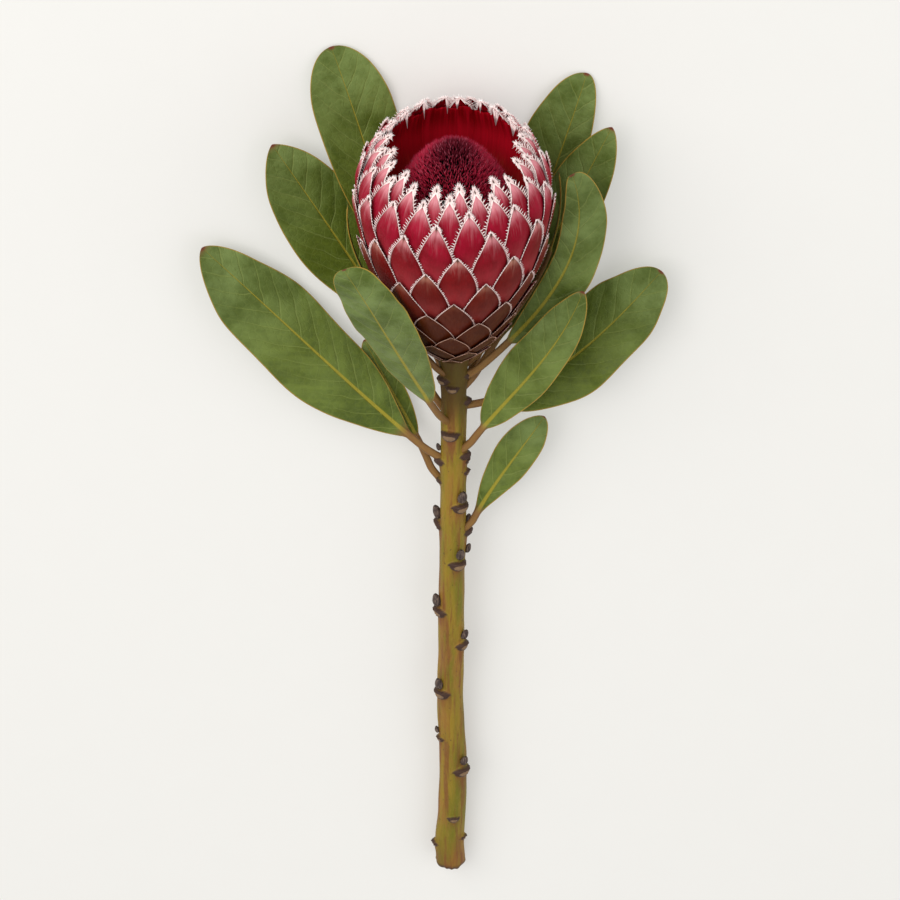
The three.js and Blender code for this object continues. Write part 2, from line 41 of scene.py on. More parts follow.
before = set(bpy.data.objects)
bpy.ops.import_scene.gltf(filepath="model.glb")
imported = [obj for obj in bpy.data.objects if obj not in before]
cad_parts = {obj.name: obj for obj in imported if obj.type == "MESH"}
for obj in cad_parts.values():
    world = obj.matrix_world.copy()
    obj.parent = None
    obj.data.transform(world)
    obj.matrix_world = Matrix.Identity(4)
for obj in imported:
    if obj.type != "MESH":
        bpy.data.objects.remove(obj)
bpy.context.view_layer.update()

# Where the plant lies
REST_SLOPE = np.radians(2.25)
REST_RADIUS = 6.1  # stem's radius where its end touches the table
PLACE_X = 6.65
PLACE_Y = -185.15
PRESSED = 0.4  # below this height a point is pressed towards the table without reaching it

# Stem: height, sideways wander of its centre, radius
STEM_LENGTH = 249.0
STEM_STATIONS = [
    (0, -0.6, 5.5), (1.4, -0.6, 6.1), (11, -1.0, 5.9), (29, 0, 5.7), (52, 0.4, 5.5), (84, -0.7, 5.3),
    (108, -0.2, 5.2), (143, 0, 5.1), (168, 0.4, 5.1), (203, 0.4, 5.0), (226, 0.6, 5.0),
    (240, 0.6, 5.3), (247, 0.6, 6.4), (252, 0.6, 7.2),
]
BARK_TOP = 252  # the bark ends inside the head
BARK_ROWS = 830
BARK_SIDES = 104
CUT_EDGE = 3.0  # the lowest part of the bark, worn by the cut, has rows of its own
CUT_EDGE_ROWS = 14
CUT_RINGS = 9
# Leaf scars: height up the stem, turn round it from the front in degrees, size
SCARS = [
    (235, -6, 0.7), (238, -53, 0.8), (239, 84, 0.7), (227, 82, 0.7), (214, -16, 1), (203, 66, 0.8),
    (200, -82, 0.9), (199, 92, 0.6), (194, 84, 0.6), (190, -84, 0.6), (180, 38, 1), (169, -104, 1),
    (166, 94, 0.9), (153, 28, 1), (129, -68, 1), (113, 58, 0.9), (90, -46, 1), (66, -62, 0.6),
    (51, 46, 1), (27, 8, 0.6), (12, -76, 0.6), (15, 72, 0.5), (100, 172, 0.9), (142, 160, 0.9),
    (190, 200, 0.9),
]
STALKED_SCARS = [(227, 82), (203, 66), (200, -82), (190, -84), (166, 94)]  # a stalk hides their face
SCAR_RADIUS = 5.3  # stem's radius that turns are measured on round a scar
FACE_HALF_WIDTH = 2.1
FACE_HALF_HEIGHT = 1.4
FACE_DROP = 1.6  # its middle lies this far below the ledge's upper edge
WING_REACH = 4.1  # of a ledge, to each side
# Buds above some scars: height, turn, size
BUDS = [
    (185, 36, 1.1), (174, -102, 1.1), (171, 96, 0.8), (157.5, 88, 0.8), (158, 30, 1), (134, -72, 1.1),
    (118, 58, 0.9), (94.5, -48, 1), (69.5, -74, 0.6), (56, 46, 0.9), (105, 174, 0.9), (205, -88, 0.6),
    (207, 84, 0.6),
]
BUD_ROWS, BUD_SIDES = 13, 14
BUD_HALF_WIDTH = 2.05
BUD_HALF_DEPTH = 1.75
BUD_LEAN = 16  # degrees that a bud leans out
BUD_STAND = 1.2  # its middle stands this far out of the bark

# Flower head: its profile is height along the head's axis and radius
HEAD_X = 0.6
HEAD_LEAN = np.radians(15.0)
HEAD_LENGTH = 111.0
HEAD_PROFILE = [(0, 8.5), (9, 15), (22, 22.7), (42, 30.7), (64, 36.9), (87, 38.4), (102, 33.5),
                (111, 25.0), (114, 20.5)]
HEAD_AXIS = np.array([0, -np.sin(HEAD_LEAN), np.cos(HEAD_LEAN)])

# Bracts, counted from one in the middle of the front
GOLDEN_TURN = 137.508
LOOSE_TURN = 0.28  # what the lower bracts add to each step
FIRST_BRACT = -66
FIRST_INNER_BRACT = 24
LAST_BRACT = 57
OUTER_BRACTS = range(FIRST_BRACT, FIRST_INNER_BRACT)
INNER_BRACTS = range(FIRST_INNER_BRACT, LAST_BRACT + 1)
FRONT_BRACT_TURN = 2.1
FRONT_BRACT_HEIGHT = 88.2
BRACT_RISE = 1.22  # tip to tip, below the front bract
MOUTH_HEIGHT = 111.5  # the tips above it close up on this height
MOUTH_RATE = 0.057
OUTER_SPAN = 36  # length of a bract of the goblet
INNER_SPAN = 46  # and of one round the mouth
BRACT_ROWS, BRACT_COLUMNS = 26, 13
BRACT_VALUES = ("edge", "age", "tint", "inside")
BRACT_MAP = 50  # millimetres to the full width of a bract's UV map
TIP_HOOK = 0.8  # how far every bract's tip bends in
NODDING = (14, 36)  # the further bend into the mouth begins at this bract and is whole at that one

# Lining of the mouth
LINING_STRIPS = 40
LINING_COLUMNS = 9
LINING_TOP = 101.5
LINING_LENGTH = 42
LINING_HALF_WIDTH = 3.8

# Fringe
COMB_LENGTH = 26  # the comb runs this far down a bract's sides
TUFT_TEETH = 15
TUFT_STEP = 18.5  # degrees from one tooth of a tuft to the next
INNER_COMB_TEETH = 24
INNER_COMB_STEP = 0.4
WISP_HAIRS = 26
WISP_LENGTH = 6.0
WISP_BRACTS = 22  # only this many of the last bracts have wisps
POINT_ROWS, POINT_SIDES = 7, 8

# Florets' dome: height along the head's axis, and its fall for each square millimetre of radius
DOME_TOP = 106.5
DOME_FALL = 0.07
FLORET_RADIUS = 0.2
RIM_START = 15.5  # the long florets begin at this radius
BED_SIDES = 64

# Leaves: cubic rib; half widths left and right; powers of the outline; the stalk's share; turn of
# the blade about its rib at its foot and tip; curl of its edges; their wave; how blue-grey it is
VIEW_ELEVATION = np.radians(33.0)
LEAVES = {
    "leaf_left_back_upper": (((-2, 4.6, 233), (-19.6, 14, 272), (-29.5, 14.4, 324), (-45.3, 19.6, 370)),
                             (15.3, 15.9), (1.28, 0.49), 0.2, (-30, 8), 0.12, 0.8, 0.15),
    "leaf_left_back_lower": (((-5, 1.5, 222), (-23.5, 9.5, 259.5), (-46, 12, 295), (-67.8, 9, 334)),
                             (16.4, 15.5), (1.34, 0.75), 0.2, (-20, 4), 0.12, 0.8, 0.1),
    "leaf_left_large": (((-5.9, -1, 200), (-31.5, 2, 221.5), (-63, 8, 255), (-95.5, 9, 289)),
                        (18.3, 14.7), (0.85, 0.64), 0.14, (0, 0), 0.1, 1.2, 0.35),
    "leaf_left_front": (((-2.6, -4.4, 218), (-16.5, -21.5, 250), (-28, -46, 291.9), (-40, -44, 310.9)),
                        (11.2, 13.5), (0.64, 0.37), 0.15, (35, 42), -0.1, 0.5, 0.9),
    "leaf_left_small": (((-7.1, 2, 190), (-14, 7, 208), (-25, 11, 225.5), (-34, 12, 246)),
                        (6.7, 5), (0.61, 0.62), 0.3, (0, 0), 0.1, 0.4, 0.0),
    "leaf_right_back_upper": (((3, 4.3, 226), (22, 12.2, 267.7), (38, 13.8, 314.5), (50.6, 19.2, 359)),
                              (15.3, 9.2), (0.99, 0.49), 0.2, (30, -8), 0.12, 0.8, 0.3),
    "leaf_right_back_lower": (((5.2, 0.5, 231), (24.5, 6, 261.1), (42.5, 10, 301.4), (60, 8, 342)),
                              (11.4, 11.4), (1.12, 0.68), 0.2, (20, 0), 0.12, 0.8, 0.5),
    "leaf_right_flank": (((5.4, -1, 236.5), (35.5, -5, 267), (55.5, -13, 301.5), (44.5, -12, 333)),
                         (6.5, 11.3), (0.5, 0.39), 0.2, (-10, -10), -0.08, 0.6, 0.8),
    "leaf_right_large": (((6.2, 1, 223), (35.5, 4, 226.5), (57.5, 8, 248.5), (80, 6, 280.5)),
                         (15.9, 15), (0.5, 0.46), 0.14, (0, 0), 0.1, 1.1, 0.15),
    "leaf_right_front": (((5, -3, 204.5), (18, -10, 231.5), (39.5, -17, 253.5), (49.5, -15, 284)),
                         (11.7, 8.4), (0.61, 0.61), 0.17, (0, 0), -0.08, 0.7, 0.55),
    "leaf_right_small": (((6.7, -1, 167), (14.3, 1, 184.5), (26.3, 3, 199.5), (36, 3, 216.5)),
                         (8.4, 7.4), (1.02, 0.62), 0.12, (0, 0), 0.1, 0.4, 0.4),
    "leaflet_left": (((-2.6, -3, 238), (-22, -3, 262), (-43, -2, 290), (-39.2, -1, 314)),
                     (3, 3), (0.8, 0.7), 0.5, (80, 88), 0.0, 0.0, 0.0),
    "leaflet_right": (((2.8, 2, 238), (31, 2, 267), (45, 0, 299.3), (40, 0.5, 327)),
                      (3, 3), (0.8, 0.7), 0.6, (-80, -88), 0.0, 0.0, 0.0),
}
LEAF_MAP = 100  # millimetres to the full width of a leaf's UV map
RIB_RUN = 1.05  # a rib's length with the part of its foot that is sunk into the stem
STALK_HALF_WIDTH = 1.55
STALK_HALF_DEPTH = 1.3
RIB_GROOVE = 0.45
VEIN_GAP = 10.5  # from one side vein to the next
VEIN_SHIFT = 5.2  # the right side's veins stand this far from the left side's
VEIN_SLOPE = 1.25

# Stage
TABLE_REACH = 6.0
LAMP_TARGET = (0.0, 0.04, 0.03)
CAMERA_TARGET = (-0.8, 0, 202.85)
CAMERA_DISTANCE = 1800
CAMERA_LENS = 184.615
CAMERA_FILM = 36


def lin(red, green, blue):
    """Linear colour of 0..255 screen values: the usual 2.4 power with its straight foot."""
    c = np.array([red, green, blue]) / 255
    return tuple(float(v) for v in np.where(c <= 0.04045, c / 12.92, ((c + 0.055) / 1.055) ** 2.4))


def colour(name, description, red, green, blue):
    return FloatVectorProperty(name=name, description=description, subtype="COLOR", size=3,
                               min=0, max=1, default=lin(red, green, blue))


def length(name, description, millimetres):
    return FloatProperty(name=name, description=description, unit="LENGTH", min=0,
                         default=millimetres / 1000, precision=5)


def power(name, description, watts):
    return FloatProperty(name=name, description=description, unit="POWER", default=watts, min=0)


def amount(name, description, number, least, most):
    return IntProperty(name=name, description=description, default=number, min=least, max=most)


# Curves and places

def smooth_curve(table, at):
    """Monotone cubic through [position, value] rows: each inner tangent is the harmonic mean of the
    slopes beside it, or zero where they differ in sign."""
    x, y = np.array(table, float).T
    slope = np.diff(y) / np.diff(x)
    product = slope[:-1] * slope[1:]
    total = slope[:-1] + slope[1:]
    inner = np.where(product > 0, 2 * product / np.where(total == 0, 1, total), 0)
    tangent = np.concatenate([slope[:1], inner, slope[-1:]])
    at = np.clip(at, x[0], x[-1])
    k = np.clip(np.searchsorted(x, at, side="right") - 1, 0, len(x) - 2)
    span = x[k + 1] - x[k]
    t = (at - x[k]) / span
    return (y[k] * (1 + 2 * t) * (1 - t) ** 2 + tangent[k] * span * t * (1 - t) ** 2
            + y[k + 1] * t * t * (3 - 2 * t) + tangent[k + 1] * span * t * t * (t - 1))


def stem_centre(z):
    return smooth_curve([(h, x) for h, x, _ in STEM_STATIONS], z)


def stem_radius(z):
    return smooth_curve([(h, r) for h, _, r in STEM_STATIONS], z)


def head_radius(h):
    return smooth_curve(HEAD_PROFILE, h)


def lay_down(points):
    """Table frame in metres of growth-frame millimetres: the plant turned on its back by 90 degrees
    less the rest slope. Heights under PRESSED fall off exponentially and stay above the table."""
    x, y, z = np.moveaxis(np.asarray(points, float), -1, 0)
    c, s = np.cos(REST_SLOPE), np.sin(REST_SLOPE)
    up = (REST_RADIUS - y) * c + z * s
    up = np.where(up < PRESSED, PRESSED * np.exp((up - PRESSED) / PRESSED), up)
    return np.stack([x + PLACE_X, y * s + z * c + PLACE_Y, up], -1) / 1000


def head_point(turn, h, radius):
    """Growth-frame point at a turn in degrees, a height along the head's axis and a radius."""
    t = np.radians(turn)
    x, y = radius * np.sin(t), -radius * np.cos(t)
    c, s = np.cos(HEAD_LEAN), np.sin(HEAD_LEAN)
    return np.stack([x + HEAD_X, y * c - h * s, y * s + h * c + STEM_LENGTH], -1)


def unit(vectors):
    return vectors / np.maximum(np.linalg.norm(vectors, axis=-1, keepdims=True), 1e-9)


def fade(low, high, value):
    """Smooth step from 0 at low to 1 at high, which may be the smaller."""
    t = np.clip((value - low) / (high - low), 0, 1)
    return t * t * (3 - 2 * t)


def scatter(value):
    """A number from 0 to 1 that jumps about as the value changes."""
    return (np.sin(value) * 43758.5453) % 1


def bract_turn(n):
    return FRONT_BRACT_TURN + GOLDEN_TURN * n - LOOSE_TURN * np.minimum(n, 0)


def bract_age(n):
    """0 on the lowest bract, 1 on the last."""
    return (n - FIRST_BRACT) / (LAST_BRACT - FIRST_BRACT)


def bract_tip(n):
    """Height of a bract's tip: a steady rise up to the front bract, then closing on the mouth."""
    rising = FRONT_BRACT_HEIGHT + BRACT_RISE * n
    closing = MOUTH_HEIGHT - (MOUTH_HEIGHT - FRONT_BRACT_HEIGHT) * np.exp(-MOUTH_RATE * np.maximum(n, 0))
    return np.where(n < 0, rising, closing)


def bract_at(h):
    """Count of the bract whose tip would be at a height."""
    low = (h - FRONT_BRACT_HEIGHT) / BRACT_RISE
    left = np.clip((MOUTH_HEIGHT - h) / (MOUTH_HEIGHT - FRONT_BRACT_HEIGHT), 1e-3, 1)
    return np.where(h < FRONT_BRACT_HEIGHT, low, -np.log(left) / MOUTH_RATE)


# Meshes

def build(name, points, triangles, finish, replaced=(), values=None, maps=None):
    """One piece from growth-frame points and triangles, with its point values and its UV maps."""
    mesh = bpy.data.meshes.new(name)
    points = lay_down(points.reshape(-1, 3))
    mesh.vertices.add(len(points))
    mesh.vertices.foreach_set("co", np.asarray(points, np.float32).ravel())
    loops = np.asarray(triangles, np.int32).ravel()
    mesh.loops.add(len(loops))
    mesh.loops.foreach_set("vertex_index", loops)
    mesh.polygons.add(len(loops) // 3)
    mesh.polygons.foreach_set("loop_start", np.arange(0, len(loops), 3, dtype=np.int32))
    mesh.update(calc_edges=True)
    for key, value in (maps or {}).items():
        layer = mesh.uv_layers.new(name=key)
        layer.data.foreach_set("uv", np.asarray(value, np.float32)[loops].ravel())
    for key, value in (values or {}).items():
        layer = mesh.attributes.new(key, "FLOAT", "POINT")
        layer.data.foreach_set("value", np.asarray(value, np.float32).ravel())
    mesh.shade_smooth()
    mesh.materials.append(finish)
    piece = bpy.data.objects.new(name, mesh)
    bpy.context.scene.collection.objects.link(piece)
    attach(piece, "root")
    if replaced:
        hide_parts(*replaced)


def rings_up(index):
    """Triangles between the rows of rings: two for each four corners."""
    side = np.roll(index, -1, axis=2)
    quads = np.stack([index[:, :-1], side[:, :-1], side[:, 1:], index[:, 1:]], -1).reshape(-1, 4)
    return np.concatenate([quads[:, [0, 1, 2]], quads[:, [0, 2, 3]]])


def plate_triangles(copies, rows, columns):
    """Triangles of closed plates whose rows are rings: their top columns from left to right, then
    their inner bottom columns from right to left."""
    ring = 2 * columns - 2
    index = np.arange(copies * rows * ring).reshape(copies, rows, ring)
    j = np.arange(columns - 1)
    first = np.stack([j, j + 1, (ring - j - 1) % ring], -1)[:-1]
    second = np.stack([j, (ring - j - 1) % ring, (ring - j) % ring], -1)[1:]
    ends = np.concatenate([first, second])
    tip = index[:, -1][:, ends].reshape(-1, 3)
    root = index[:, 0][:, ends[:, ::-1]].reshape(-1, 3)
    return np.concatenate([rings_up(index), tip, root])


def tube_triangles(copies, rows, sides):
    """Triangles of tubes whose rows run up and sides run round; both ends close with a fan."""
    index = np.arange(copies * rows * sides).reshape(copies, rows, sides)
    j = np.arange(1, sides - 1)
    fan = np.stack([np.zeros_like(j), j, j + 1], -1)
    tip = index[:, -1][:, fan].reshape(-1, 3)
    root = index[:, 0][:, fan[:, ::-1]].reshape(-1, 3)
    return np.concatenate([rings_up(index), tip, root])


def ring_of(top, bottom):
    """Rings of plates from their top and bottom faces, which share their side columns."""
    return np.concatenate([top, bottom[:, :, -2:0:-1]], axis=2)


def along_rings(grid):
    """Flat point values of plates from grids that are alike on both faces."""
    return {key: ring_of(value, value).ravel() for key, value in grid.items()}


def hairs(base, direction, span, radius, bend=None):
    """Points and triangles of three-sided hairs. Each tapers from its base to a point; a bend moves
    its tip sideways by the square of the share of its length."""
    number = len(base)
    direction = unit(direction)
    helper = np.where(np.abs(direction[:, 2:]) < 0.9, [[0.0, 0.0, 1.0]], [[1.0, 0.0, 0.0]])
    side = unit(np.cross(direction, helper))
    other = np.cross(direction, side)
    angle = np.radians([0, 120, 240])[None, :, None]
    around = side[:, None] * np.cos(angle) + other[:, None] * np.sin(angle)
    radius = np.broadcast_to(radius, number)[:, None, None]
    span = np.broadcast_to(span, number)[:, None]
    foot = base[:, None] + around * radius
    if bend is None:
        points = np.concatenate([foot, (base + direction * span)[:, None]], 1)
        faces = np.array([[0, 1, 3], [1, 2, 3], [2, 0, 3], [2, 1, 0]])
    else:
        middle = (base + direction * span * 0.55 + bend * 0.3)[:, None] + around * radius * 0.85
        points = np.concatenate([foot, middle, (base + direction * span + bend)[:, None]], 1)
        faces = np.array([[0, 1, 4], [0, 4, 3], [1, 2, 5], [1, 5, 4], [2, 0, 3], [2, 3, 5],
                          [3, 4, 6], [4, 5, 6], [5, 3, 6], [2, 1, 0]])
    corners = points.shape[1]
    triangles = (faces[None] + np.arange(number)[:, None, None] * corners).reshape(-1, 3)
    return points, triangles, corners


# Finishes

class Signal:
    """An output socket of a material; arithmetic on it adds Math nodes."""

    def __init__(self, finish, socket):
        self.finish = finish
        self.socket = socket

    def math(self, operation, *others):
        sockets = dict(enumerate((self,) + others))
        return self.finish.node("ShaderNodeMath", sockets, operation=operation)

    def __add__(self, other):
        return self.math("ADD", other)

    def __mul__(self, other):
        return self.math("MULTIPLY", other)

    def __sub__(self, other):
        return self.math("SUBTRACT", other)

    def __truediv__(self, other):
        return self.math("DIVIDE", other)

    def __rsub__(self, other):
        return self * -1 + other

    def __abs__(self):
        return self.math("ABSOLUTE")

    __radd__ = __add__
    __rmul__ = __mul__

    def fraction(self):
        return self.math("FRACT")

    def above(self, other):
        return self.math("MAXIMUM", other)

    def below(self, other):
        return self.math("MINIMUM", other)

    def fade(self, low, high):
        """0 at low, 1 at high, smooth between; low may be the larger."""
        if low > high:
            return 1 - self.fade(high, low)
        return self.finish.node("ShaderNodeMapRange", {"Value": self, "From Min": low, "From Max": high},
                                interpolation_type="SMOOTHSTEP")


class Finish:
    """A material whose colours and relief are written as expressions."""

    def __init__(self, name, **constants):
        self.material = bpy.data.materials.new(name)
        self.material.use_nodes = True
        self.tree = self.material.node_tree
        self.tree.nodes.clear()
        self.surface = self.tree.nodes.new("ShaderNodeBsdfPrincipled")
        output = self.tree.nodes.new("ShaderNodeOutputMaterial")
        self.tree.links.new(self.surface.outputs[0], output.inputs["Surface"])
        for socket, value in constants.items():
            self.surface.inputs[socket.replace("_", " ")].default_value = value

    def node(self, kind, sockets=None, output=0, **settings):
        """A node with its settings made first, then its sockets' values or links."""
        node = self.tree.nodes.new(kind)
        for key, value in settings.items():
            setattr(node, key, value)
        for key, value in (sockets or {}).items():
            if isinstance(value, Signal):
                self.tree.links.new(value.socket, node.inputs[key])
            else:
                node.inputs[key].default_value = value
        return Signal(self, node.outputs[output])

    def put(self, socket, signal):
        self.tree.links.new(signal.socket, self.surface.inputs[socket])

    def place(self):
        return self.node("ShaderNodeTexCoord", output="Object")

    def map(self, name):
        """Two numbers of a UV map."""
        pair = self.node("ShaderNodeUVMap", uv_map=name)
        first = self.node("ShaderNodeSeparateXYZ", {0: pair})
        return first, Signal(self, first.socket.node.outputs[1])

    def values(self, *names):
        """Point values of the mesh."""
        return [self.node("ShaderNodeAttribute", output="Fac", attribute_name=name) for name in names]

    def vector(self, x, y, z):
        return self.node("ShaderNodeCombineXYZ", {0: x, 1: y, 2: z})

    def stretch(self, vector, scale):
        return self.node("ShaderNodeVectorMath", {0: vector, 1: scale}, operation="MULTIPLY")

    def noise(self, vector, scale, detail, rough):
        sockets = {"Vector": vector, "Scale": scale, "Detail": detail, "Roughness": rough}
        return self.node("ShaderNodeTexNoise", sockets, output="Fac")

    def cracks(self, vector, scale):
        """Distance to the nearest line of a net of cells."""
        return self.node("ShaderNodeTexVoronoi", {"Vector": vector, "Scale": scale},
                         output="Distance", feature="DISTANCE_TO_EDGE")

    def mix(self, mask, first, second, mode="MIX"):
        def whole(c):
            return c if isinstance(c, Signal) else (*c[:3], 1.0)
        return self.node("ShaderNodeMix", {0: mask, 6: whole(first), 7: whole(second)}, output=2,
                         data_type="RGBA", blend_type=mode)

    def coats(self, base, *coats):
        """The base under coats of paint, each a mask and a colour."""
        for mask, paint in coats:
            base = self.mix(mask, base, paint)
        return base

    def relief(self, height, distance, strength):
        """Bumps from a height in 0..1, at a real distance in metres."""
        self.put("Normal", self.node("ShaderNodeBump", {"Strength": strength, "Distance": distance,
                                                        "Height": height}))


def bract_skin(f, x, t, edge, age, tint, streaks, settings):
    """Outer face of a bract: from olive brown at the head's base through brick to crimson, with pale
    down on its shoulders, a painted highlight along one side of its keel, painted shade near its
    edges and low on it, a pale margin, a dark line inside it and a dark point."""
    side = abs(x)
    patches = f.noise(f.vector(x * 0.2, t * 0.13, tint * 17), 1.0, 3, 0.6)
    speckle = f.noise(f.vector(x, t, tint * 31), 2.6, 3, 0.6)
    base = f.mix(age.fade(0.02, 0.24), settings.base_colour, settings.low_colour)
    base = f.coats(base, (age.fade(0.3, 0.58), settings.middle_colour),
                   (age.fade(0.5, 0.72), settings.upper_colour))
    deep = f.mix(patches.fade(0.35, 0.62), base, settings.shade_colour, "MULTIPLY")
    skin = f.mix(0.45, base, deep)
    stripe = f.mix(1.0, skin, settings.shade_colour, "MULTIPLY")
    skin = f.coats(skin, (streaks.fade(0.42, 0.62) * 0.22, stripe),
                   (t.fade(12, 24) * age.fade(0.3, 0.6) * 0.3, settings.foot_colour))
    shoulder = edge.fade(3.4, 0.8) * t.fade(9, 1.5) * 0.55 + t.fade(5.5, 1.0) * 0.25
    shoulder = shoulder * age.fade(0.3, 0.66) * (0.5 + streaks * 0.9)
    # A painted highlight: a pale band along one side of the bract's keel, below its tip.
    keel_highlight = (x + 0.25 * (patches - 0.5)).fade(-0.1, 0.35) * x.fade(1.5, 0.4) * t.fade(15, 5) * t.fade(2, 4)
    striae = streaks.fade(0.45, 0.72) * t.fade(15, 3) * 0.22 + t.fade(11, 2) * 0.06
    frost = age.fade(0.64, 0.8) * t.fade(9, 1.5) * streaks * 0.3
    bloom = shoulder + frost + (keel_highlight * 0.14 + striae) * age.fade(0.36, 0.6)
    down = f.mix(age.fade(0.46, 0.62), settings.tan_colour, settings.bloom_colour)
    skin = f.mix(bloom.below(0.78), skin, down)
    # Painted shade: the skin darkens near both edges below the tip and over its lower middle.
    painted_shade = edge.fade(2.2, 0.7) * t.fade(4, 9) * 0.35 + t.fade(7, 15) * t.fade(26, 16) * 0.3
    shaded = f.mix(1.0, skin, settings.shade_colour, "MULTIPLY")
    rim = f.mix(age.fade(0.12, 0.5), settings.tan_colour, settings.margin_colour)
    tip_lace = (edge - t.fade(4.0, 0.6) * age.fade(0.6, 0.8) * 0.8).fade(0.4, 0.28)
    lace = (edge - age * 0.14 - (speckle - 0.5) * 0.5).fade(0.28, 0.14).above(tip_lace)
    skin = f.coats(skin, (painted_shade * age.fade(0.25, 0.5), shaded),
                   (edge.fade(0.6, 0.44) * t.fade(16, 4) * 0.6, settings.point_colour),
                   ((t + side * 2.0).fade(5.2, 1.0) * age.fade(0.8, 0.6) * 0.55, settings.brown_colour),
                   ((t + side * 2.2).fade(3.0, 1.6) * (0.85 - age * 0.25), settings.point_colour),
                   (lace * (0.72 + age * 0.28), rim))
    return skin, patches


def bract_wall(f, x, t, edge, tint, streaks, settings):
    """Inner face of a bract: dark red with painted highlights on lengthwise ribs, painted light
    lower down, a painted glow of light shining through in streaks low down, and a white edge.
    """
    # Painted highlights: lighter lengthwise stripes stand for light on the ribs of the inner face.
    ribs = f.noise(f.vector(x * 0.8, t * 0.03, tint * 9), 1.0, 2, 0.5)
    wall = f.mix(ribs.fade(0.35, 0.7), settings.wall_colour, settings.wall_rib_highlight_colour)
    # Painted glow: orange-red streaks low down stand for light shining through the bracts.
    glow = (0.4 + streaks.fade(0.42, 0.65)) * t.fade(17, 30) * 0.45
    # Painted light: the first coat makes the inner face grow lighter lower down.
    return f.coats(wall, (t.fade(5, 17) * 0.6, settings.wall_painted_light_colour), (glow, settings.painted_glow_colour),
                   ((edge - t.fade(9, 2) * 0.5).fade(0.4, 0.25) * 0.85, settings.margin_colour))


def bract_finish(settings):
    """Leathery bract, with one look on its outer face and another inside."""
    f = Finish("bract skin", Roughness=0.5, Specular_IOR_Level=0.06)
    x, t = (value * BRACT_MAP for value in f.map("lengths"))
    edge, age, tint, inside = f.values(*BRACT_VALUES)
    streaks = f.noise(f.vector(x * 2.2, t * 0.22, tint * 40), 1.0, 4, 0.6)
    skin, patches = bract_skin(f, x, t, edge, age, tint, streaks, settings)
    wall = bract_wall(f, x, t, edge, tint, streaks, settings)
    f.put("Base Color", f.mix(inside, skin, wall))
    f.put("Roughness", 0.46 + streaks * 0.2)
    f.relief(streaks * 0.6 + patches * 0.4, 0.0002, 0.5)
    return f.material


def hair_finish(settings):
    """Hairs of the fringe: white from root to tip, and tan on the low bracts. They give off a little
    light of their own, a painted glow that stands for light shining through fine hairs."""
    f = Finish("fringe", Roughness=0.8, Specular_IOR_Level=0.1, Emission_Strength=0.12)
    along, tint, age = f.values("along", "tint", "age")
    white = f.mix(along.fade(0.1, 0.9), settings.hair_root_colour, settings.hair_tip_colour)
    white = f.coats(white, (tint * 0.35, settings.hair_root_colour),
                    (age.fade(0.5, 0.12) * 0.9, settings.tan_colour))
    f.put("Base Color", white)
    # Painted glow: the hairs give off a little light in their own colour.
    f.put("Emission Color", white)
    return f.material


def horn_finish(settings):
    """Hard dark point of a bract, with fine pale grain."""
    f = Finish("bract point", Roughness=0.5, Specular_IOR_Level=0.3)
    grain = f.noise(f.place(), 2500.0, 2, 0.5)
    f.put("Base Color", f.mix(grain, settings.point_colour, settings.point_grain_colour))
    return f.material


def leaf_finish(settings):
    """Leathery leaf: yellow midrib, side veins that bend to the tip, a net of fine veins, a thin
    orange margin, a greyer far end and a dark red point."""
    f = Finish("leaf", Roughness=0.46, Specular_IOR_Level=0.22, Coat_Roughness=0.4, Coat_Weight=0.03)
    x, y = (value * LEAF_MAP for value in f.map("lengths"))
    u, s = f.map("share")
    u = u * 2 - 1
    bloom, seed, stalk = f.values("bloom", "seed", "stalk")
    reach = abs(x)
    where = f.vector(x, y, seed * 60)
    mottle = f.noise(where, 0.07, 4, 0.6)
    fine = f.noise(where, 0.55, 4, 0.65)
    wander = f.noise(where, 0.09, 2, 0.5) * 5
    right = x.fade(-0.01, 0.01)
    rows = (y - reach * VEIN_SLOPE - reach * reach * 0.03 + wander + right * VEIN_SHIFT) / VEIN_GAP
    gap = abs(rows.fraction() - 0.5) * VEIN_GAP
    veins = gap.fade(0.75, 0.15) * reach.fade(19, 2) * (1 - stalk)
    pucker = gap.fade(0, 4.5)
    net = f.cracks(f.vector(x + wander * 0.3, y * 0.75, seed * 11), 0.42).fade(0.09, 0.0) * (1 - stalk)
    slant = f.vector((y - reach * VEIN_SLOPE) * 0.22, reach * 0.05, seed * 23 + right * 7)
    slant = f.noise(slant, 1.0, 4, 0.6)
    # A painted sheen: broad paler areas from slow noise, with paler streaks along the side veins.
    pale = f.noise(where, 0.02, 2, 0.5).fade(0.4, 0.62) * 0.6 + slant.fade(0.5, 0.7) * 0.4
    grey = f.mix(mottle.fade(0.3, 0.7), settings.grey_colour, settings.grey_light_colour)
    rib = (reach / ((1 - s) * 0.95 + 0.06)).fade(1.25, 0.55)
    half_width = reach / abs(u).above(0.02)
    margin = ((1 - abs(u)) * half_width).fade(0.5, 0.2) * (1 - stalk)
    green = f.mix(mottle.fade(0.3, 0.75) * 0.6 + slant.fade(0.3, 0.7) * 0.4, settings.dark_colour,
                  settings.light_colour)
    green = f.coats(green, (fine.fade(0.3, 0.75) * 0.35, settings.young_colour),
                    (pale * 0.26, settings.pale_colour),
                    ((bloom * 0.85 + s.fade(0.55, 1.0) * 0.85 * (0.4 + fine)).below(0.9), grey),
                    (veins * 0.42, settings.vein_colour),
                    (net * 0.12, settings.vein_colour),
                    (rib * (0.95 - s * 0.35), settings.rib_colour),
                    (margin * 0.85, settings.margin_colour),
                    (stalk * (1.0 - fine * 0.3), settings.stalk_colour),
                    (s.fade(0.988, 0.996) * reach.fade(1.5, 0.6) * 0.9, settings.tip_colour))
    f.put("Base Color", green)
    f.put("Roughness", 0.4 + fine * 0.2)
    height = fine * 0.2 + pucker * 0.3 + slant * 0.4 - net * 0.1 - veins * 0.3 - rib * 0.4 + 0.4
    f.relief(height, 0.0009, 0.6)
    return f.material


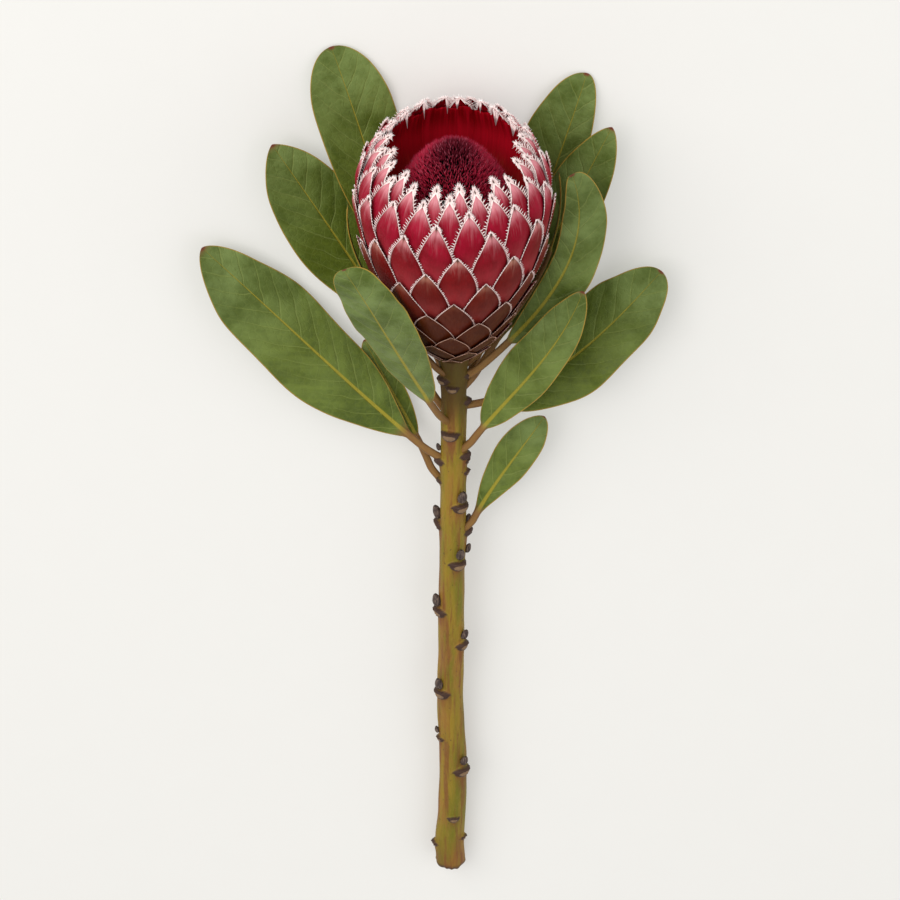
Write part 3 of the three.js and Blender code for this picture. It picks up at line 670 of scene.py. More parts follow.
def bark_finish(settings):
    """Green bark with lengthwise red-brown streaks, purple-brown ledges, tan scars, dark buds with
    worn edges, and the wood of the cut end. Painted shadow falls below each ledge and from the head
    over the top of the stem, and a painted highlight lies on the lip round each scar's face."""
    f = Finish("bark", Roughness=0.55, Specular_IOR_Level=0.25)
    place = f.place()
    ledge, scar, bud, cut, under, head_shadow = f.values("ledge", "scar", "bud", "cut", "under", "head_shadow")
    streak = f.noise(f.stretch(place, (420.0, 34.0, 420.0)), 1.0, 5, 0.62)
    broad = f.noise(f.stretch(place, (150.0, 22.0, 150.0)), 1.0, 3, 0.55)
    grain = f.noise(f.stretch(place, (1900.0, 380.0, 1900.0)), 1.0, 4, 0.65)
    spots = f.noise(f.stretch(place, (900.0, 500.0, 900.0)), 1.0, 2, 0.5)
    blush = f.noise(f.stretch(place, (110.0, 30.0, 110.0)), 1.0, 4, 0.65)
    rings = f.noise(place, 700.0, 4, 0.6)
    # Painted highlight: a paler ring on the lip round each scar's face; on the ledges the same coat is paler
    # grain.
    lip = scar.fade(0.02, 0.3) * scar.fade(0.9, 0.5)
    worn = (lip * 0.6 + ledge * grain.fade(0.55, 0.75) * 0.35).below(0.7)
    bud_skin = f.mix(grain.fade(0.4, 0.7), settings.bud_colour, settings.bud_light_colour)
    wood = f.mix(rings.fade(0.35, 0.7), settings.cut_colour, settings.cut_dark_colour)
    skin = f.mix(broad.fade(0.35, 0.65), settings.green_colour, settings.yellow_colour)
    skin = f.coats(skin, (blush.fade(0.47, 0.62) * 0.55, settings.blush_colour),
                   (streak.fade(0.45, 0.64) * 0.76, settings.streak_colour),
                   (streak.fade(0.42, 0.28) * 0.5, settings.green_colour),
                   (grain.fade(0.45, 0.85) * 0.35, settings.pale_colour),
                   (spots.fade(0.66, 0.74) * 0.6, settings.ledge_colour),
                   # Painted shadow below each ledge, in the streaks' red-brown; the same mask makes the bark
                   # red-brown towards the cut end.
                   (under * (0.2 + streak * 0.9), settings.streak_colour),
                   # Painted shadow of the head over the top of the stem.
                   (head_shadow * (0.75 + streak * 0.2), settings.head_shadow_colour),
                   ((ledge * (0.8 + grain * 0.4)).below(1), settings.ledge_colour),
                   # Painted highlight on the lip round each scar's face, and paler grain on the ledges.
                   (worn, settings.bud_light_colour),
                   (scar.fade(0.4, 0.8) * (0.6 + grain * 0.6), settings.scar_colour),
                   (bud, bud_skin), (cut, wood))
    f.put("Base Color", skin)
    f.put("Roughness", 0.45 + grain * 0.25)
    f.relief(streak * 0.5 + grain * 0.5, 0.0005, 0.7)
    return f.material


def floret_finish(settings):
    """Florets that are nearly black at their roots and on the dome's top, crimson on its flank, with
    painted highlights on the tips of a few here and there."""
    f = Finish("florets", Roughness=0.55, Specular_IOR_Level=0.12)
    along, tint, out = f.values("along", "tint", "out")
    tip = f.mix(out.fade(0.15, 0.6), settings.tip_colour, settings.flank_colour)
    root = f.mix(out.fade(0.2, 0.7), settings.bed_colour, settings.root_colour)
    # Painted highlights: a few florets, picked by their random tint, get pale tips.
    f.put("Base Color", f.coats(root, (along.fade(0.1, 0.9), tip),
                                (tint.fade(0.8, 0.9) * along.fade(0.3, 0.8) * 0.7, settings.light_colour)))
    return f.material


# Settings

class StemSettings(PropertyGroup):
    green_colour: colour("Green bark", "Green part of the bark", 110, 104, 22)
    yellow_colour: colour("Yellow bark", "Yellow part of the bark", 142, 116, 32)
    blush_colour: colour("Blush", "Pink-brown patches of the bark", 148, 98, 46)
    # Also the colour of the painted shadow below each ledge.
    streak_colour: colour("Streaks", "Red-brown streaks along the bark", 116, 66, 34)
    pale_colour: colour("Pale grain", "Pale grain over the bark", 160, 134, 70)
    # Painted shadow of the head on the bark just under it.
    head_shadow_colour: colour("Dark bark", "Bark just under the head", 76, 56, 16)
    ledge_colour: colour("Ledges", "Ledges under the leaf scars", 64, 43, 34)
    scar_colour: colour("Scars", "Face of the leaf scars", 140, 112, 82)
    bud_colour: colour("Buds", "Resting buds", 56, 44, 42)
    # Also the painted highlight on the lip round each scar's face.
    bud_light_colour: colour("Bud edges", "Worn edges of the buds", 118, 100, 88)
    cut_colour: colour("Cut face", "Cut end of the stem", 206, 150, 112)
    cut_dark_colour: colour("Cut rings", "Darker wood of the cut end", 162, 98, 66)
    ledge_height: length("Ledge height", "How far a full-sized ledge stands out of the bark", 3.0)
    bud_length: length("Bud length", "Length of a full-sized bud", 5.7)


class LeafSettings(PropertyGroup):
    dark_colour: colour("Dark green", "Darker patches of the blade", 53, 67, 5)
    light_colour: colour("Light green", "Lighter patches of the blade", 84, 99, 13)
    young_colour: colour("Yellow green", "Fine yellow-green specks", 107, 120, 24)
    # Painted sheen over broad areas of the blade, and paler streaks along the side veins.
    pale_colour: colour("Pale green", "Broad paler areas", 130, 144, 60)
    grey_colour: colour("Grey green", "Blade under a waxy bloom", 76, 92, 32)
    grey_light_colour: colour("Pale grey green", "Thicker waxy bloom", 116, 134, 74)
    vein_colour: colour("Veins", "Side veins", 124, 136, 68)
    rib_colour: colour("Midrib", "Midrib of the leaf", 156, 142, 40)
    margin_colour: colour("Margin", "Thin edge of the leaf", 166, 132, 50)
    stalk_colour: colour("Stalk", "Stalk of the leaf", 128, 86, 52)
    tip_colour: colour("Tip", "Point of the leaf", 110, 52, 36)
    thickness: length("Thickness", "Thickness of the blade", 0.7)
    rows: amount("Rows", "Rows of faces along a leaf", 110, 20, 400)
    columns: amount("Columns", "Columns of faces across a leaf", 35, 9, 101)


class BractSettings(PropertyGroup):
    base_colour: colour("Lowest", "Lowest bracts, at the stem", 78, 52, 18)
    low_colour: colour("Low", "Low bracts", 82, 34, 8)
    middle_colour: colour("Middle", "Bracts in the middle of the head", 128, 15, 18)
    upper_colour: colour("Upper", "Upper bracts", 160, 17, 48)
    # Multiplied in for random deeper patches, for the streaks, and for the painted shade near a bract's
    # edges and low on it.
    shade_colour: colour("Shade", "Deeper patches", 190, 120, 120)
    foot_colour: colour("Foot", "Lower part of the upper bracts", 172, 72, 76)
    bloom_colour: colour("Bloom", "Pale down over the skin", 224, 152, 160)
    margin_colour: colour("Margin", "Pale margin of the upper bracts", 250, 232, 228)
    tan_colour: colour("Low margin", "Margin of the low bracts", 212, 162, 138)
    point_colour: colour("Point", "Dark point of a bract", 58, 30, 16)
    point_grain_colour: colour("Point's grain", "Paler grain of a bract's point", 92, 56, 40)
    brown_colour: colour("Brown", "Olive brown under the point of a bract", 100, 66, 40)
    wall_colour: colour("Inside", "Inner face of the bracts", 132, 2, 10)
    # Painted highlights on the ribs of the inner face.
    wall_rib_highlight_colour: colour("Inside, light", "Lighter stripes of the inner face", 186, 12, 34)
    # Painted light lower on the inner face.
    wall_painted_light_colour: colour("Inside, deep", "Lower part of the inner face", 214, 22, 44)
    # Painted glow of light shining through, low on the inner face.
    painted_glow_colour: colour("Inside, low", "Orange-red streaks low on the inner face", 206, 66, 50)
    hair_root_colour: colour("Hair root", "Root of the fringe's hairs", 250, 226, 224)
    hair_tip_colour: colour("Hair tip", "Tip of the fringe's hairs", 255, 252, 250)
    spacing: length("Layer spacing", "Each bract lies this much inside the one before", 0.1)
    thickness: length("Thickness", "Thickness of a bract", 0.5)
    crown: length("Crown", "How much a bract's edges lie below its keel", 1.0)
    curl: length("Curl", "How far the tips of the last bracts bend into the mouth", 2.5)
    fringe: length("Fringe", "Longest hairs of the fringe", 2.6)
    tooth_radius: length("Tooth radius", "Radius of a tooth of the fringe's comb at its root", 0.3)
    hair_radius: length("Hair radius", "Radius of a fine hair at its root", 0.09)
    tooth_step: length("Tooth step", "Distance between the teeth of the comb", 1.1)
    tuft_hairs: amount("Tuft hairs", "Hairs round an upper bract's tip", 110, 0, 400)


class FloretSettings(PropertyGroup):
    bed_colour: colour("Bed", "Bed under the florets", 30, 0, 8)
    root_colour: colour("Root", "Root of the florets on the flank", 140, 8, 36)
    tip_colour: colour("Tip", "Tip of the florets on the dome's top", 110, 16, 36)
    flank_colour: colour("Flank", "Tip of the florets on the dome's flank", 208, 48, 80)
    # Painted highlights on the tips of a few florets.
    light_colour: colour("Light tip", "Palest tips of the florets", 196, 96, 116)
    dome_radius: length("Dome radius", "Radius of the dome where it meets the bracts", 20.5)
    bristle: length("Floret length", "Length of the floret tips that show", 4.4)
    count: amount("Florets", "Number of floret tips", 7400, 100, 12000)
    rim_count: amount("Long florets", "Long florets at the rim", 1800, 0, 5000)


class StageSettings(PropertyGroup):
    floor_colour: colour("Floor", "Colour of the table", 187, 186, 183)
    grain_colour: colour("Grain", "Faint grain of the table", 225, 224, 220)
    floor_glow: FloatProperty(name="Glow", description="Light that comes up through the table", default=0.66,
                              min=0, max=1)
    sky_strength: FloatProperty(name="Sky", description="Strength of the light all round",
                                default=0.62, min=0)
    key_power: power("Key light", "Power of the large key light", 28)
    fill_power: power("Fill light", "Power of the fill light", 7.5)


class ProteaSettings(PropertyGroup):
    stem: PointerProperty(type=StemSettings, name="Stem", description="Bark, scars and buds")
    leaves: PointerProperty(type=LeafSettings, name="Leaves", description="Leaves and leaflets")
    bracts: PointerProperty(type=BractSettings, name="Bracts", description="Bracts and their fringe")
    florets: PointerProperty(type=FloretSettings, name="Florets", description="Dome of florets")
    stage: PointerProperty(type=StageSettings, name="Stage", description="Table, lights and camera")


# Stem

def stem_surface(settings):
    """Bark as a tube over turn and height: the stem's radius with shallow flutes, and at each scar a
    shelf, steep above and running out below. Its wings reach round the stem, and the scar's face is
    sunk into its middle. Returns the points and the point values of ledges, scars, the painted shadow
    below each ledge, which also makes the bark red-brown towards the cut end, and the painted shadow
    of the head over the top of the stem."""
    turn = np.linspace(0, 360, BARK_SIDES, endpoint=False)
    z = np.concatenate([np.linspace(0, CUT_EDGE, CUT_EDGE_ROWS, endpoint=False),
                        np.linspace(CUT_EDGE, BARK_TOP, BARK_ROWS)])
    turn, z = np.meshgrid(turn, z)
    angle = np.radians(turn)
    radius = stem_radius(z) + 0.1 * np.sin(5 * angle + z * 0.03) + 0.07 * np.sin(3 * angle - z * 0.05)
    radius = radius + 0.08 * np.sin(z * 0.31 + 2 * angle)
    radius = radius + 0.25 * fade(2.6, 0.6, z) * np.sin(11 * angle + 2 * np.sin(3 * angle))
    ledge, scar, lift, under = np.zeros((4, *z.shape))
    for height, at, size in SCARS:
        across = np.radians((turn - at + 180) % 360 - 180) * SCAR_RADIUS / size
        up = (z - height) / size + 0.05 * across * across
        middle = np.exp(-(across / 2.3) ** 2)
        drop = 0.8 + 2.5 * np.sqrt(np.clip(1 - (across / 3.7) ** 2, 0, 1))
        rise = np.where(up > 0, np.exp(-(up / 0.6) ** 2), np.exp(-np.abs(up / drop) ** 4))
        shelf = rise * np.exp(-(across / WING_REACH) ** 4)
        tail = 0.25 * middle * fade(-13, -1, up) * (up < 0) * (1 - rise)
        height_here = settings.ledge_height * 1000 * size * (shelf * (0.42 + 0.58 * middle) + tail)
        lift = np.maximum(lift, height_here)
        if (height, at) not in STALKED_SCARS:
            face = (across / FACE_HALF_WIDTH) ** 2 + ((up + FACE_DROP) / FACE_HALF_HEIGHT) ** 2
            scar = np.maximum(scar, fade(1.15, 0.7, face))
        ledge = np.maximum(ledge, fade(0.12, 0.4, shelf))
        # Painted shadow: the bark below each ledge darkens to red-brown.
        under = np.maximum(under, fade(-12, -3, up) * (up < 0) * np.exp(-(across / 2.8) ** 4))
    radius = radius + lift - 0.45 * scar + 0.12 * ledge * np.sin(angle * 31 + 2 * np.sin(z * 2.1))
    points = np.stack([radius * np.sin(angle) + stem_centre(z), -radius * np.cos(angle), z], -1)
    # Point values: under is painted shadow below each ledge and red-brown towards the cut end; the last is
    # painted shadow of the head over the top of the stem.
    values = {"ledge": np.clip(ledge + fade(2.6, 0.6, z) * 0.8, 0, 1), "scar": scar,
              "under": np.maximum(under, 0.7 * fade(20, 2, z)), "head_shadow": fade(212, 230, z)}
    return points, values


def cut_end(foot):
    """Rings that close the cut end: the bark's foot drawn in to its middle, domed and uneven."""
    share = np.linspace(0.04, 1, CUT_RINGS)[:, None]
    middle = foot.mean(0)
    rings = middle + (foot - middle) * share[..., None] * np.array([0.985, 0.985, 1.0])
    rings[..., 2] = 0.25 - 0.3 * share ** 4 + 0.12 * np.sin(foot[None, :, 0] * 2.1) * share
    return rings


def bud_shapes(settings):
    """Buds as egg shapes: a circle that swells then closes along the bud's length, with a seam down
    two sides, leaning out of the stem."""
    height, at, size = np.array(BUDS, float).T[..., None, None]
    lean = np.radians(BUD_LEAN + 6 * np.sin(np.arange(len(BUDS)) * 2.3))[:, None, None]
    v = np.linspace(0, 1, BUD_ROWS)[None, :, None]
    turn = np.linspace(0, 2 * np.pi, BUD_SIDES, endpoint=False)[None, None, :]
    swell = np.sqrt(np.clip(np.sin(np.pi * v ** 0.85), 0, 1)) * (1 - 0.25 * v)
    swell = swell * (1 - 0.16 * np.exp(-(np.sin(turn + 0.4) / 0.25) ** 2))
    across = BUD_HALF_WIDTH * size * swell * np.cos(turn)
    deep = -BUD_HALF_DEPTH * size * swell * np.sin(turn)
    along = (v - 0.5) * settings.bud_length * 1000 * size
    foot = height - 0.7 * size
    out = deep * np.cos(lean) - along * np.sin(lean) - stem_radius(foot) - BUD_STAND * size
    up = deep * np.sin(lean) + along * np.cos(lean)
    t = np.radians(at)
    return np.stack([across * np.cos(t) - out * np.sin(t) + stem_centre(foot),
                     across * np.sin(t) + out * np.cos(t), up + foot], -1)


class PROTEA_OT_stem(Operator):
    """Make the woody stem with its ledges, scars, buds and cut end"""

    bl_idname = "protea.stem"
    bl_label = "Stem"

    def execute(self, context):
        settings = context.scene.protea.stem
        bark, values = stem_surface(settings)
        cut = np.zeros((CUT_RINGS + len(bark), BARK_SIDES))
        cut[:CUT_RINGS] = 1
        cut[CUT_RINGS - 1] = 0.4
        no_value = np.zeros((CUT_RINGS, BARK_SIDES))
        values = {key: np.concatenate([no_value, value]) for key, value in values.items()}
        values.update(cut=cut, bud=np.zeros_like(cut))
        bark = np.concatenate([cut_end(bark[0]), bark])
        buds = bud_shapes(settings)
        bark_size, bud_size = bark[..., 0].size, buds[..., 0].size
        points = np.concatenate([bark.reshape(-1, 3), buds.reshape(-1, 3)])
        triangles = np.concatenate([tube_triangles(1, len(bark), BARK_SIDES),
                                    tube_triangles(len(buds), BUD_ROWS, BUD_SIDES) + bark_size])
        values = {key: np.concatenate([value.ravel(), np.full(bud_size, float(key == "bud"))])
                  for key, value in values.items()}
        build("stem_bark", points, triangles, bark_finish(settings), ["stem"], values)
        return {"FINISHED"}


# Leaves

def bezier(points, s):
    """Cubic through four control points, and its direction."""
    p = np.array(points, float)
    s = s[:, None]
    place = (1 - s) ** 3 * p[0] + 3 * (1 - s) ** 2 * s * p[1] + 3 * (1 - s) * s ** 2 * p[2] + s ** 3 * p[3]
    along = 3 * (1 - s) ** 2 * (p[1] - p[0]) + 6 * (1 - s) * s * (p[2] - p[1]) + 3 * s ** 2 * (p[3] - p[2])
    return place, unit(along)


def leaf_axes(rib, roll, s):
    """Places along a leaf's rib, with the directions across the blade, as it shows in the view and
    turned by its roll, and off its face. The foot bends in to the stem's middle."""
    place, along = bezier(rib, s)
    place = place - fade(0.07, -0.063, s)[:, None] * [1, 1, 0] * 2.6 * unit(place * [1, 1, 0])
    view = np.array([0, -np.cos(VIEW_ELEVATION), np.sin(VIEW_ELEVATION)])
    side = unit(np.cross(along, view))
    turn = -np.radians(roll[0] + (roll[1] - roll[0]) * s)[:, None]
    side = side * np.cos(turn) + np.cross(along, side) * np.sin(turn)
    return place, side, unit(np.cross(side, along))


def leaf_surface(name, settings):
    """Leaf over the share s of its rib and u across it: the rib is a cubic, the half width a product
    of powers of s and 1 - s, the blade turns about the rib, curls with u squared and waves at its
    edges. Its thickness is a round stalk that thins into the blade."""
    rib, widths, (p, q), petiole, roll, curl, wave, bloom = LEAVES[name]
    rows, columns = settings.rows, settings.columns
    seed = (sum(map(ord, name)) % 97) / 97
    share = 1 - (RIB_RUN - np.linspace(0, RIB_RUN, rows)) ** 1.25
    share[-1] = 0.9996
    place, side, normal = leaf_axes(rib, roll, share)
    u = np.sin(np.linspace(-1, 1, columns) * np.pi / 2 * 0.96)[None] / np.sin(np.pi / 2 * 0.96)
    s = share[:, None]
    left = u < 0

    t = np.clip((s - petiole) / (1 - petiole), 0, 1)
    blade = t ** p * (1 - t) ** q / ((p / (p + q)) ** p * (q / (p + q)) ** q)
    bays = np.sin(np.where(left, 15, 17) * s + seed * np.where(left, 14, 41)) * (s < 0.93)
    bays = 0.042 * wave * bays * fade(0.93, 0.8, s)
    stalk = STALK_HALF_WIDTH * np.sqrt(1 - s)
    half = np.hypot(np.where(left, *widths) * blade * (1 + bays), stalk)
    reach = u * half

    ripple = wave * np.sin(7 * np.pi * s + np.where(left, 0, 1.8)) * u ** 2 * blade
    ripple = ripple + 0.35 * wave * np.sin(17 * np.pi * s + seed * 9 + u * 2) * u ** 2 * blade
    groove = RIB_GROOVE * np.exp(-(reach / 1.6) ** 2) * fade(0, 0.3, blade) * (1 - s)
    lift = curl * half * u ** 2 * s + ripple - groove
    face = place[:, None] + side[:, None] * reach[..., None] + normal[:, None] * lift[..., None]
    round_part = np.sqrt(np.clip(1 - (reach / stalk.clip(0.3)) ** 2, 0, 1))
    round_part = STALK_HALF_DEPTH * np.sqrt(1 - s) * round_part
    edge = np.sqrt(np.clip(1 - u ** 2, 0, 1)) ** 0.5
    thin = settings.thickness * 500 * edge * fade(1, 0.97, s).clip(0.3)
    top = face + normal[:, None] * np.maximum(thin, round_part * fade(0.5, 0.0, blade))[..., None]
    bottom = face - normal[:, None] * np.maximum(thin, round_part)[..., None]
    ring = ring_of(top[None], bottom[None])[0]
    for column, at in ((0, 0), (-1, columns - 1)):
        ring[:, at] = (top[:, column] + bottom[:, column]) / 2

    run = np.linalg.norm(np.diff(place, axis=0), axis=1).sum()
    grid = {"x": reach, "y": s * run, "u": u, "s": s, "stalk": fade(0.28, 0.02, blade)}
    flat = along_rings({key: np.broadcast_to(value, reach.shape)[None] for key, value in grid.items()})
    maps = {"lengths": np.stack([flat["x"], flat["y"]], -1) / LEAF_MAP,
            "share": np.stack([flat["u"] / 2 + 0.5, flat["s"]], -1)}
    values = {"bloom": np.full(len(flat["x"]), bloom), "seed": np.full(len(flat["x"]), seed),
              "stalk": flat["stalk"]}
    return ring, values, maps


class PROTEA_OT_leaves(Operator):
    """Make every leaf and leaflet"""

    bl_idname = "protea.leaves"
    bl_label = "Leaves"

    def execute(self, context):
        settings = context.scene.protea.leaves
        finish = leaf_finish(settings)
        triangles = plate_triangles(1, settings.rows, settings.columns)
        for name in LEAVES:
            ring, values, maps = leaf_surface(name, settings)
            build("blade_" + name, ring, triangles, finish, [name], values, maps)
        return {"FINISHED"}


# Bracts

def bract_radius(n, t, u, settings):
    """Radius of a bract's outer face at t below its tip and u across it: the head's radius less the
    layer spacing for each bract that lies over it, less a crown that falls to both sides from a
    keel. Its tip bends in, a little everywhere and well into the mouth on the last bracts."""
    h = bract_tip(n) - t
    layers = np.clip(n - bract_at(h), 0, None)
    fall = 0.65 * np.abs(u) + 0.35 * u ** 2
    crown = settings.crown * 1000 * fall * fade(0, 5, t) * fade(-60, -10, n)
    hook = TIP_HOOK * fade(5, 0, t) * fade(-50, -15, n)
    back = fade(0.2, -0.7, np.cos(np.radians(bract_turn(n))))
    bend = settings.curl * 1000 * np.clip(1 - t / 5.5, 0, 1) ** 2 * fade(*NODDING, n) * (1 - 0.75 * back)
    return head_radius(h) - settings.spacing * 1000 * layers - crown - (hook + bend)


def bract_half_width(n, t):
    """Ogive: the widest half width times a parabola of how far the point is below the tip."""
    share = bract_tip(n) / HEAD_LENGTH
    widest = np.minimum(8.4 - 1.0 * share, 0.23 * head_radius(bract_tip(n)) + 0.3)
    ogive = 12 + 10 * fade(0.15, 0.55, share)
    return np.maximum(widest * (1 - np.clip(1 - t / ogive, 0, 1) ** 2), 0.06)


def bract_place(n, t, u, settings, inwards=0.0):
    """Growth-frame point of a bract's outer face, moved inwards along the head's radius."""
    radius = bract_radius(n, t, u, settings)
    half = bract_half_width(n, t)
    turn = bract_turn(n) + np.degrees(u * half / np.maximum(radius, 5)) + 0.5 * np.sin(n * 12.9)
    return head_point(turn, bract_tip(n) - t, radius - inwards)


def strips(numbers, columns):
    """Grids over plates of bracts: the plate's number, the share from 1 at its root to 0 at its tip,
    and the place across it from -1 to 1."""
    s = np.linspace(1, 0, BRACT_ROWS)[None, :, None]
    u = np.linspace(-1, 1, columns)[None, None, :]
    return np.broadcast_arrays(np.array(numbers, float)[:, None, None], s, u)


def bract_group(numbers, span, settings):
    """Closed plates of a group of bracts, from their roots up to their tips, and their values."""
    n, s, u = strips(numbers, BRACT_COLUMNS)
    t = np.minimum(span, bract_tip(n) - 0.8) * s ** 1.35
    thick = settings.thickness * 1000 * (0.35 + 0.65 * np.sqrt(np.clip(1 - u ** 2, 0, 1))) * fade(-0.5, 4, t)
    ring = ring_of(bract_place(n, t, u, settings), bract_place(n, t, u, settings, thick))
    half = bract_half_width(n, t)
    flat = along_rings({"t": t, "x": u * half, "edge": (1 - np.abs(u)) * half, "age": bract_age(n),
                        "tint": scatter(n * 12.9898)})
    faces = np.concatenate([np.zeros(BRACT_COLUMNS), np.ones(BRACT_COLUMNS - 2)])
    flat["inside"] = np.broadcast_to(faces, ring.shape[:3]).ravel()
    return ring, flat


def inner_radius(h, settings):
    """Radius of the inner face of the last bract at a height."""
    layers = (LAST_BRACT + 3 - bract_at(h)).clip(3)
    return head_radius(h) - settings.spacing * 1000 * layers - settings.thickness * 1000


def lining_surface(settings):
    """Innermost bracts as narrow strips side by side: just inside the last bract at every height,
    each a shallow trough that overlaps the next."""
    k, s, u = strips(range(LINING_STRIPS), LINING_COLUMNS)
    t = LINING_LENGTH * s ** 1.2
    h = LINING_TOP + 1.2 * np.sin(k * 2.4) - t
    half = LINING_HALF_WIDTH * np.sqrt(np.clip(1 - (1 - np.clip(t / 5, 0, 1)) ** 2, 0.003, 1))
    radius = inner_radius(h, settings) - 0.15 - 0.18 * (k % 2) + 0.3 * u ** 2
    turn = k * 360 / LINING_STRIPS + 1.2 * np.sin(k * 1.7) + np.degrees(u * half / radius)
    ring = ring_of(head_point(turn, h, radius), head_point(turn, h, radius - 0.3 * (1 - u ** 2)))
    flat = along_rings({"t": t, "x": u * half, "edge": np.full_like(t, 9.0), "age": np.ones_like(t),
                        "tint": scatter(k * 78.2), "inside": np.ones_like(t)})
    return ring, flat


class PROTEA_OT_bracts(Operator):
    """Make the bracts, outside and round the mouth, and the mouth's lining"""

    bl_idname = "protea.bracts"
    bl_label = "Bracts"

    def execute(self, context):
        settings = context.scene.protea.bracts
        finish = bract_finish(settings)
        goblet = bract_group(OUTER_BRACTS, OUTER_SPAN, settings)
        mouth = bract_group(INNER_BRACTS, INNER_SPAN, settings)
        made = {"bracts_of_the_goblet": (goblet, "bract_skin", ["bracts_outer"]),
                "bracts_of_the_mouth": (mouth, "bract_rim", ["bracts_inner"]),
                "lining_of_the_mouth": (lining_surface(settings), "bract_rim", ())}
        for name, ((ring, flat), slot, nodes) in made.items():
            copies, rows, around = ring.shape[:3]
            triangles = plate_triangles(copies, rows, around // 2 + 1)
            maps = {"lengths": np.stack([flat["x"], flat["t"]], -1) / BRACT_MAP}
            values = {key: flat[key] for key in BRACT_VALUES}
            build(name, ring, triangles, finish, nodes, values, maps)
        return {"FINISHED"}


# Fringe

def fringe_share(n):
    """How long a bract's hairs are: from nearly nothing on the lowest bract to 1 on the last."""
    return 0.1 + 0.9 * fade(0.1, 1.05, bract_age(n))


def hair_roots(n, t, u, settings):
    """Roots on a bract's outer face, with the directions to its tip, outwards across it and off it."""
    root = bract_place(n, t, u, settings)
    above = np.maximum(t - 0.5, 0)
    along = unit(bract_place(n, above, u, settings) - bract_place(n, above + 1, u, settings))
    normal = unit(root - bract_place(n, t, u, settings, 1.0))
    across = np.cross(along, normal) * np.sign(u + 1e-6)[..., None]
    return root, along, across, normal


def every(*lists):
    """Each number of a list with each of the others', as flat arrays; the last list runs fastest."""
    return [grid.ravel() for grid in np.meshgrid(*(np.array(v, float) for v in lists), indexing="ij")]


def comb_of(numbers, settings, seed):
    """Teeth of the comb along both sides of each bract: at every step one thick tooth with two fine
    hairs at its root, which turn from outwards at the side to forwards at the tip."""
    draw = np.random.default_rng(seed)
    step = settings.tooth_step * 1000
    n, k, side, kind = every(numbers, range(int(COMB_LENGTH / step)), (-1, 1), range(3))
    shift = scatter(n * 12.9898 + k * 78.233 + side * 37.7)
    t = step * (k + 0.3 + 0.3 * shift) + np.where(kind > 0, draw.uniform(-0.2, 0.2, len(k)), 0)
    kept = (t < bract_tip(n) - 2) & (t > 0.2) & (draw.random(len(k)) < 0.97)
    n, t, side, fine = n[kept], t[kept], side[kept], kind[kept] > 0
    root, along, across, normal = hair_roots(n, t, side, settings)
    near = fade(5, 0, t)[:, None]
    direction = across * (1.0 - 0.3 * near) + along * (0.5 + 0.5 * near) + normal * 0.3
    direction = unit(direction) + draw.normal(size=root.shape) * np.where(fine, 0.22, 0.08)[:, None]
    reach = (0.82 - 0.24 * fade(10, 22, t)) * np.where(fine, 0.85, 1.1)
    span = settings.fringe * 1000 * fringe_share(n) ** 0.85 * reach
    span = np.maximum(span, 0.4) * (0.8 + 0.4 * draw.random(len(t)))
    radius = np.where(fine, settings.hair_radius, settings.tooth_radius) * 1000
    radius = radius * (0.5 + 0.5 * fade(0.1, 0.6, fringe_share(n)))
    return root - unit(direction) * 0.15 + normal * 0.15, direction, span, radius, n


def tufts_of(numbers, settings, seed):
    """Lace at the tips of the upper bracts: thick teeth that fan out evenly from the tip to all
    sides, over a bush of fine hairs. The fan leans into the mouth."""
    draw = np.random.default_rng(seed)
    n, k = every(numbers, range(settings.tuft_hairs))
    thick = k < TUFT_TEETH
    place = k - TUFT_TEETH // 2
    fan = np.where(thick, place * TUFT_STEP + draw.normal(size=len(n)) * 3, draw.uniform(-140, 140, len(n)))
    fan = np.radians(fan)
    off = np.where(thick, 1.3 * np.abs(place) / 7, draw.random(len(n)) ** 2 * 2.2)
    kept = draw.random(len(n)) < fade(0.3, 0.75, fringe_share(n))
    n, fan, off, thick = n[kept], fan[kept], off[kept], thick[kept]
    root, along, across, normal = hair_roots(n, 0.35 + off, np.sign(fan + 1e-6), settings)
    along = unit(along - normal * 0.5 * fade(*NODDING, n)[:, None])
    direction = along * np.cos(fan)[:, None] + across * np.abs(np.sin(fan))[:, None]
    rise = np.where(thick, draw.uniform(-0.15, 0.3, len(n)), draw.uniform(-0.5, 0.7, len(n)))
    direction = direction + normal * rise[:, None] + draw.normal(size=root.shape) * 0.08
    reach = np.where(thick, draw.uniform(0.68, 0.9, len(n)), draw.uniform(0.25, 0.55, len(n)))
    radius = np.where(thick, settings.tooth_radius, settings.hair_radius * 1.5) * 1000
    return root, direction, settings.fringe * 1000 * fringe_share(n) * reach, radius, n


def inner_comb_of(numbers, settings, seed):
    """Teeth on the inner edges of the last bracts, which hang into the mouth and down its wall."""
    draw = np.random.default_rng(seed)
    n, k, side = every(numbers, range(INNER_COMB_TEETH), (-1, 1))
    t = INNER_COMB_STEP * (k + draw.random(len(k)))
    root, along, across, normal = hair_roots(n, t, side * 0.97, settings)
    direction = across * 0.45 - along * 0.5 - normal * 0.6 + draw.normal(size=root.shape) * 0.16
    span = 1.9 * fade(11, 3, t) * draw.uniform(0.6, 1.0, len(t)) + 0.3
    return root - normal * 0.3, direction, span, settings.tooth_radius * 700, n


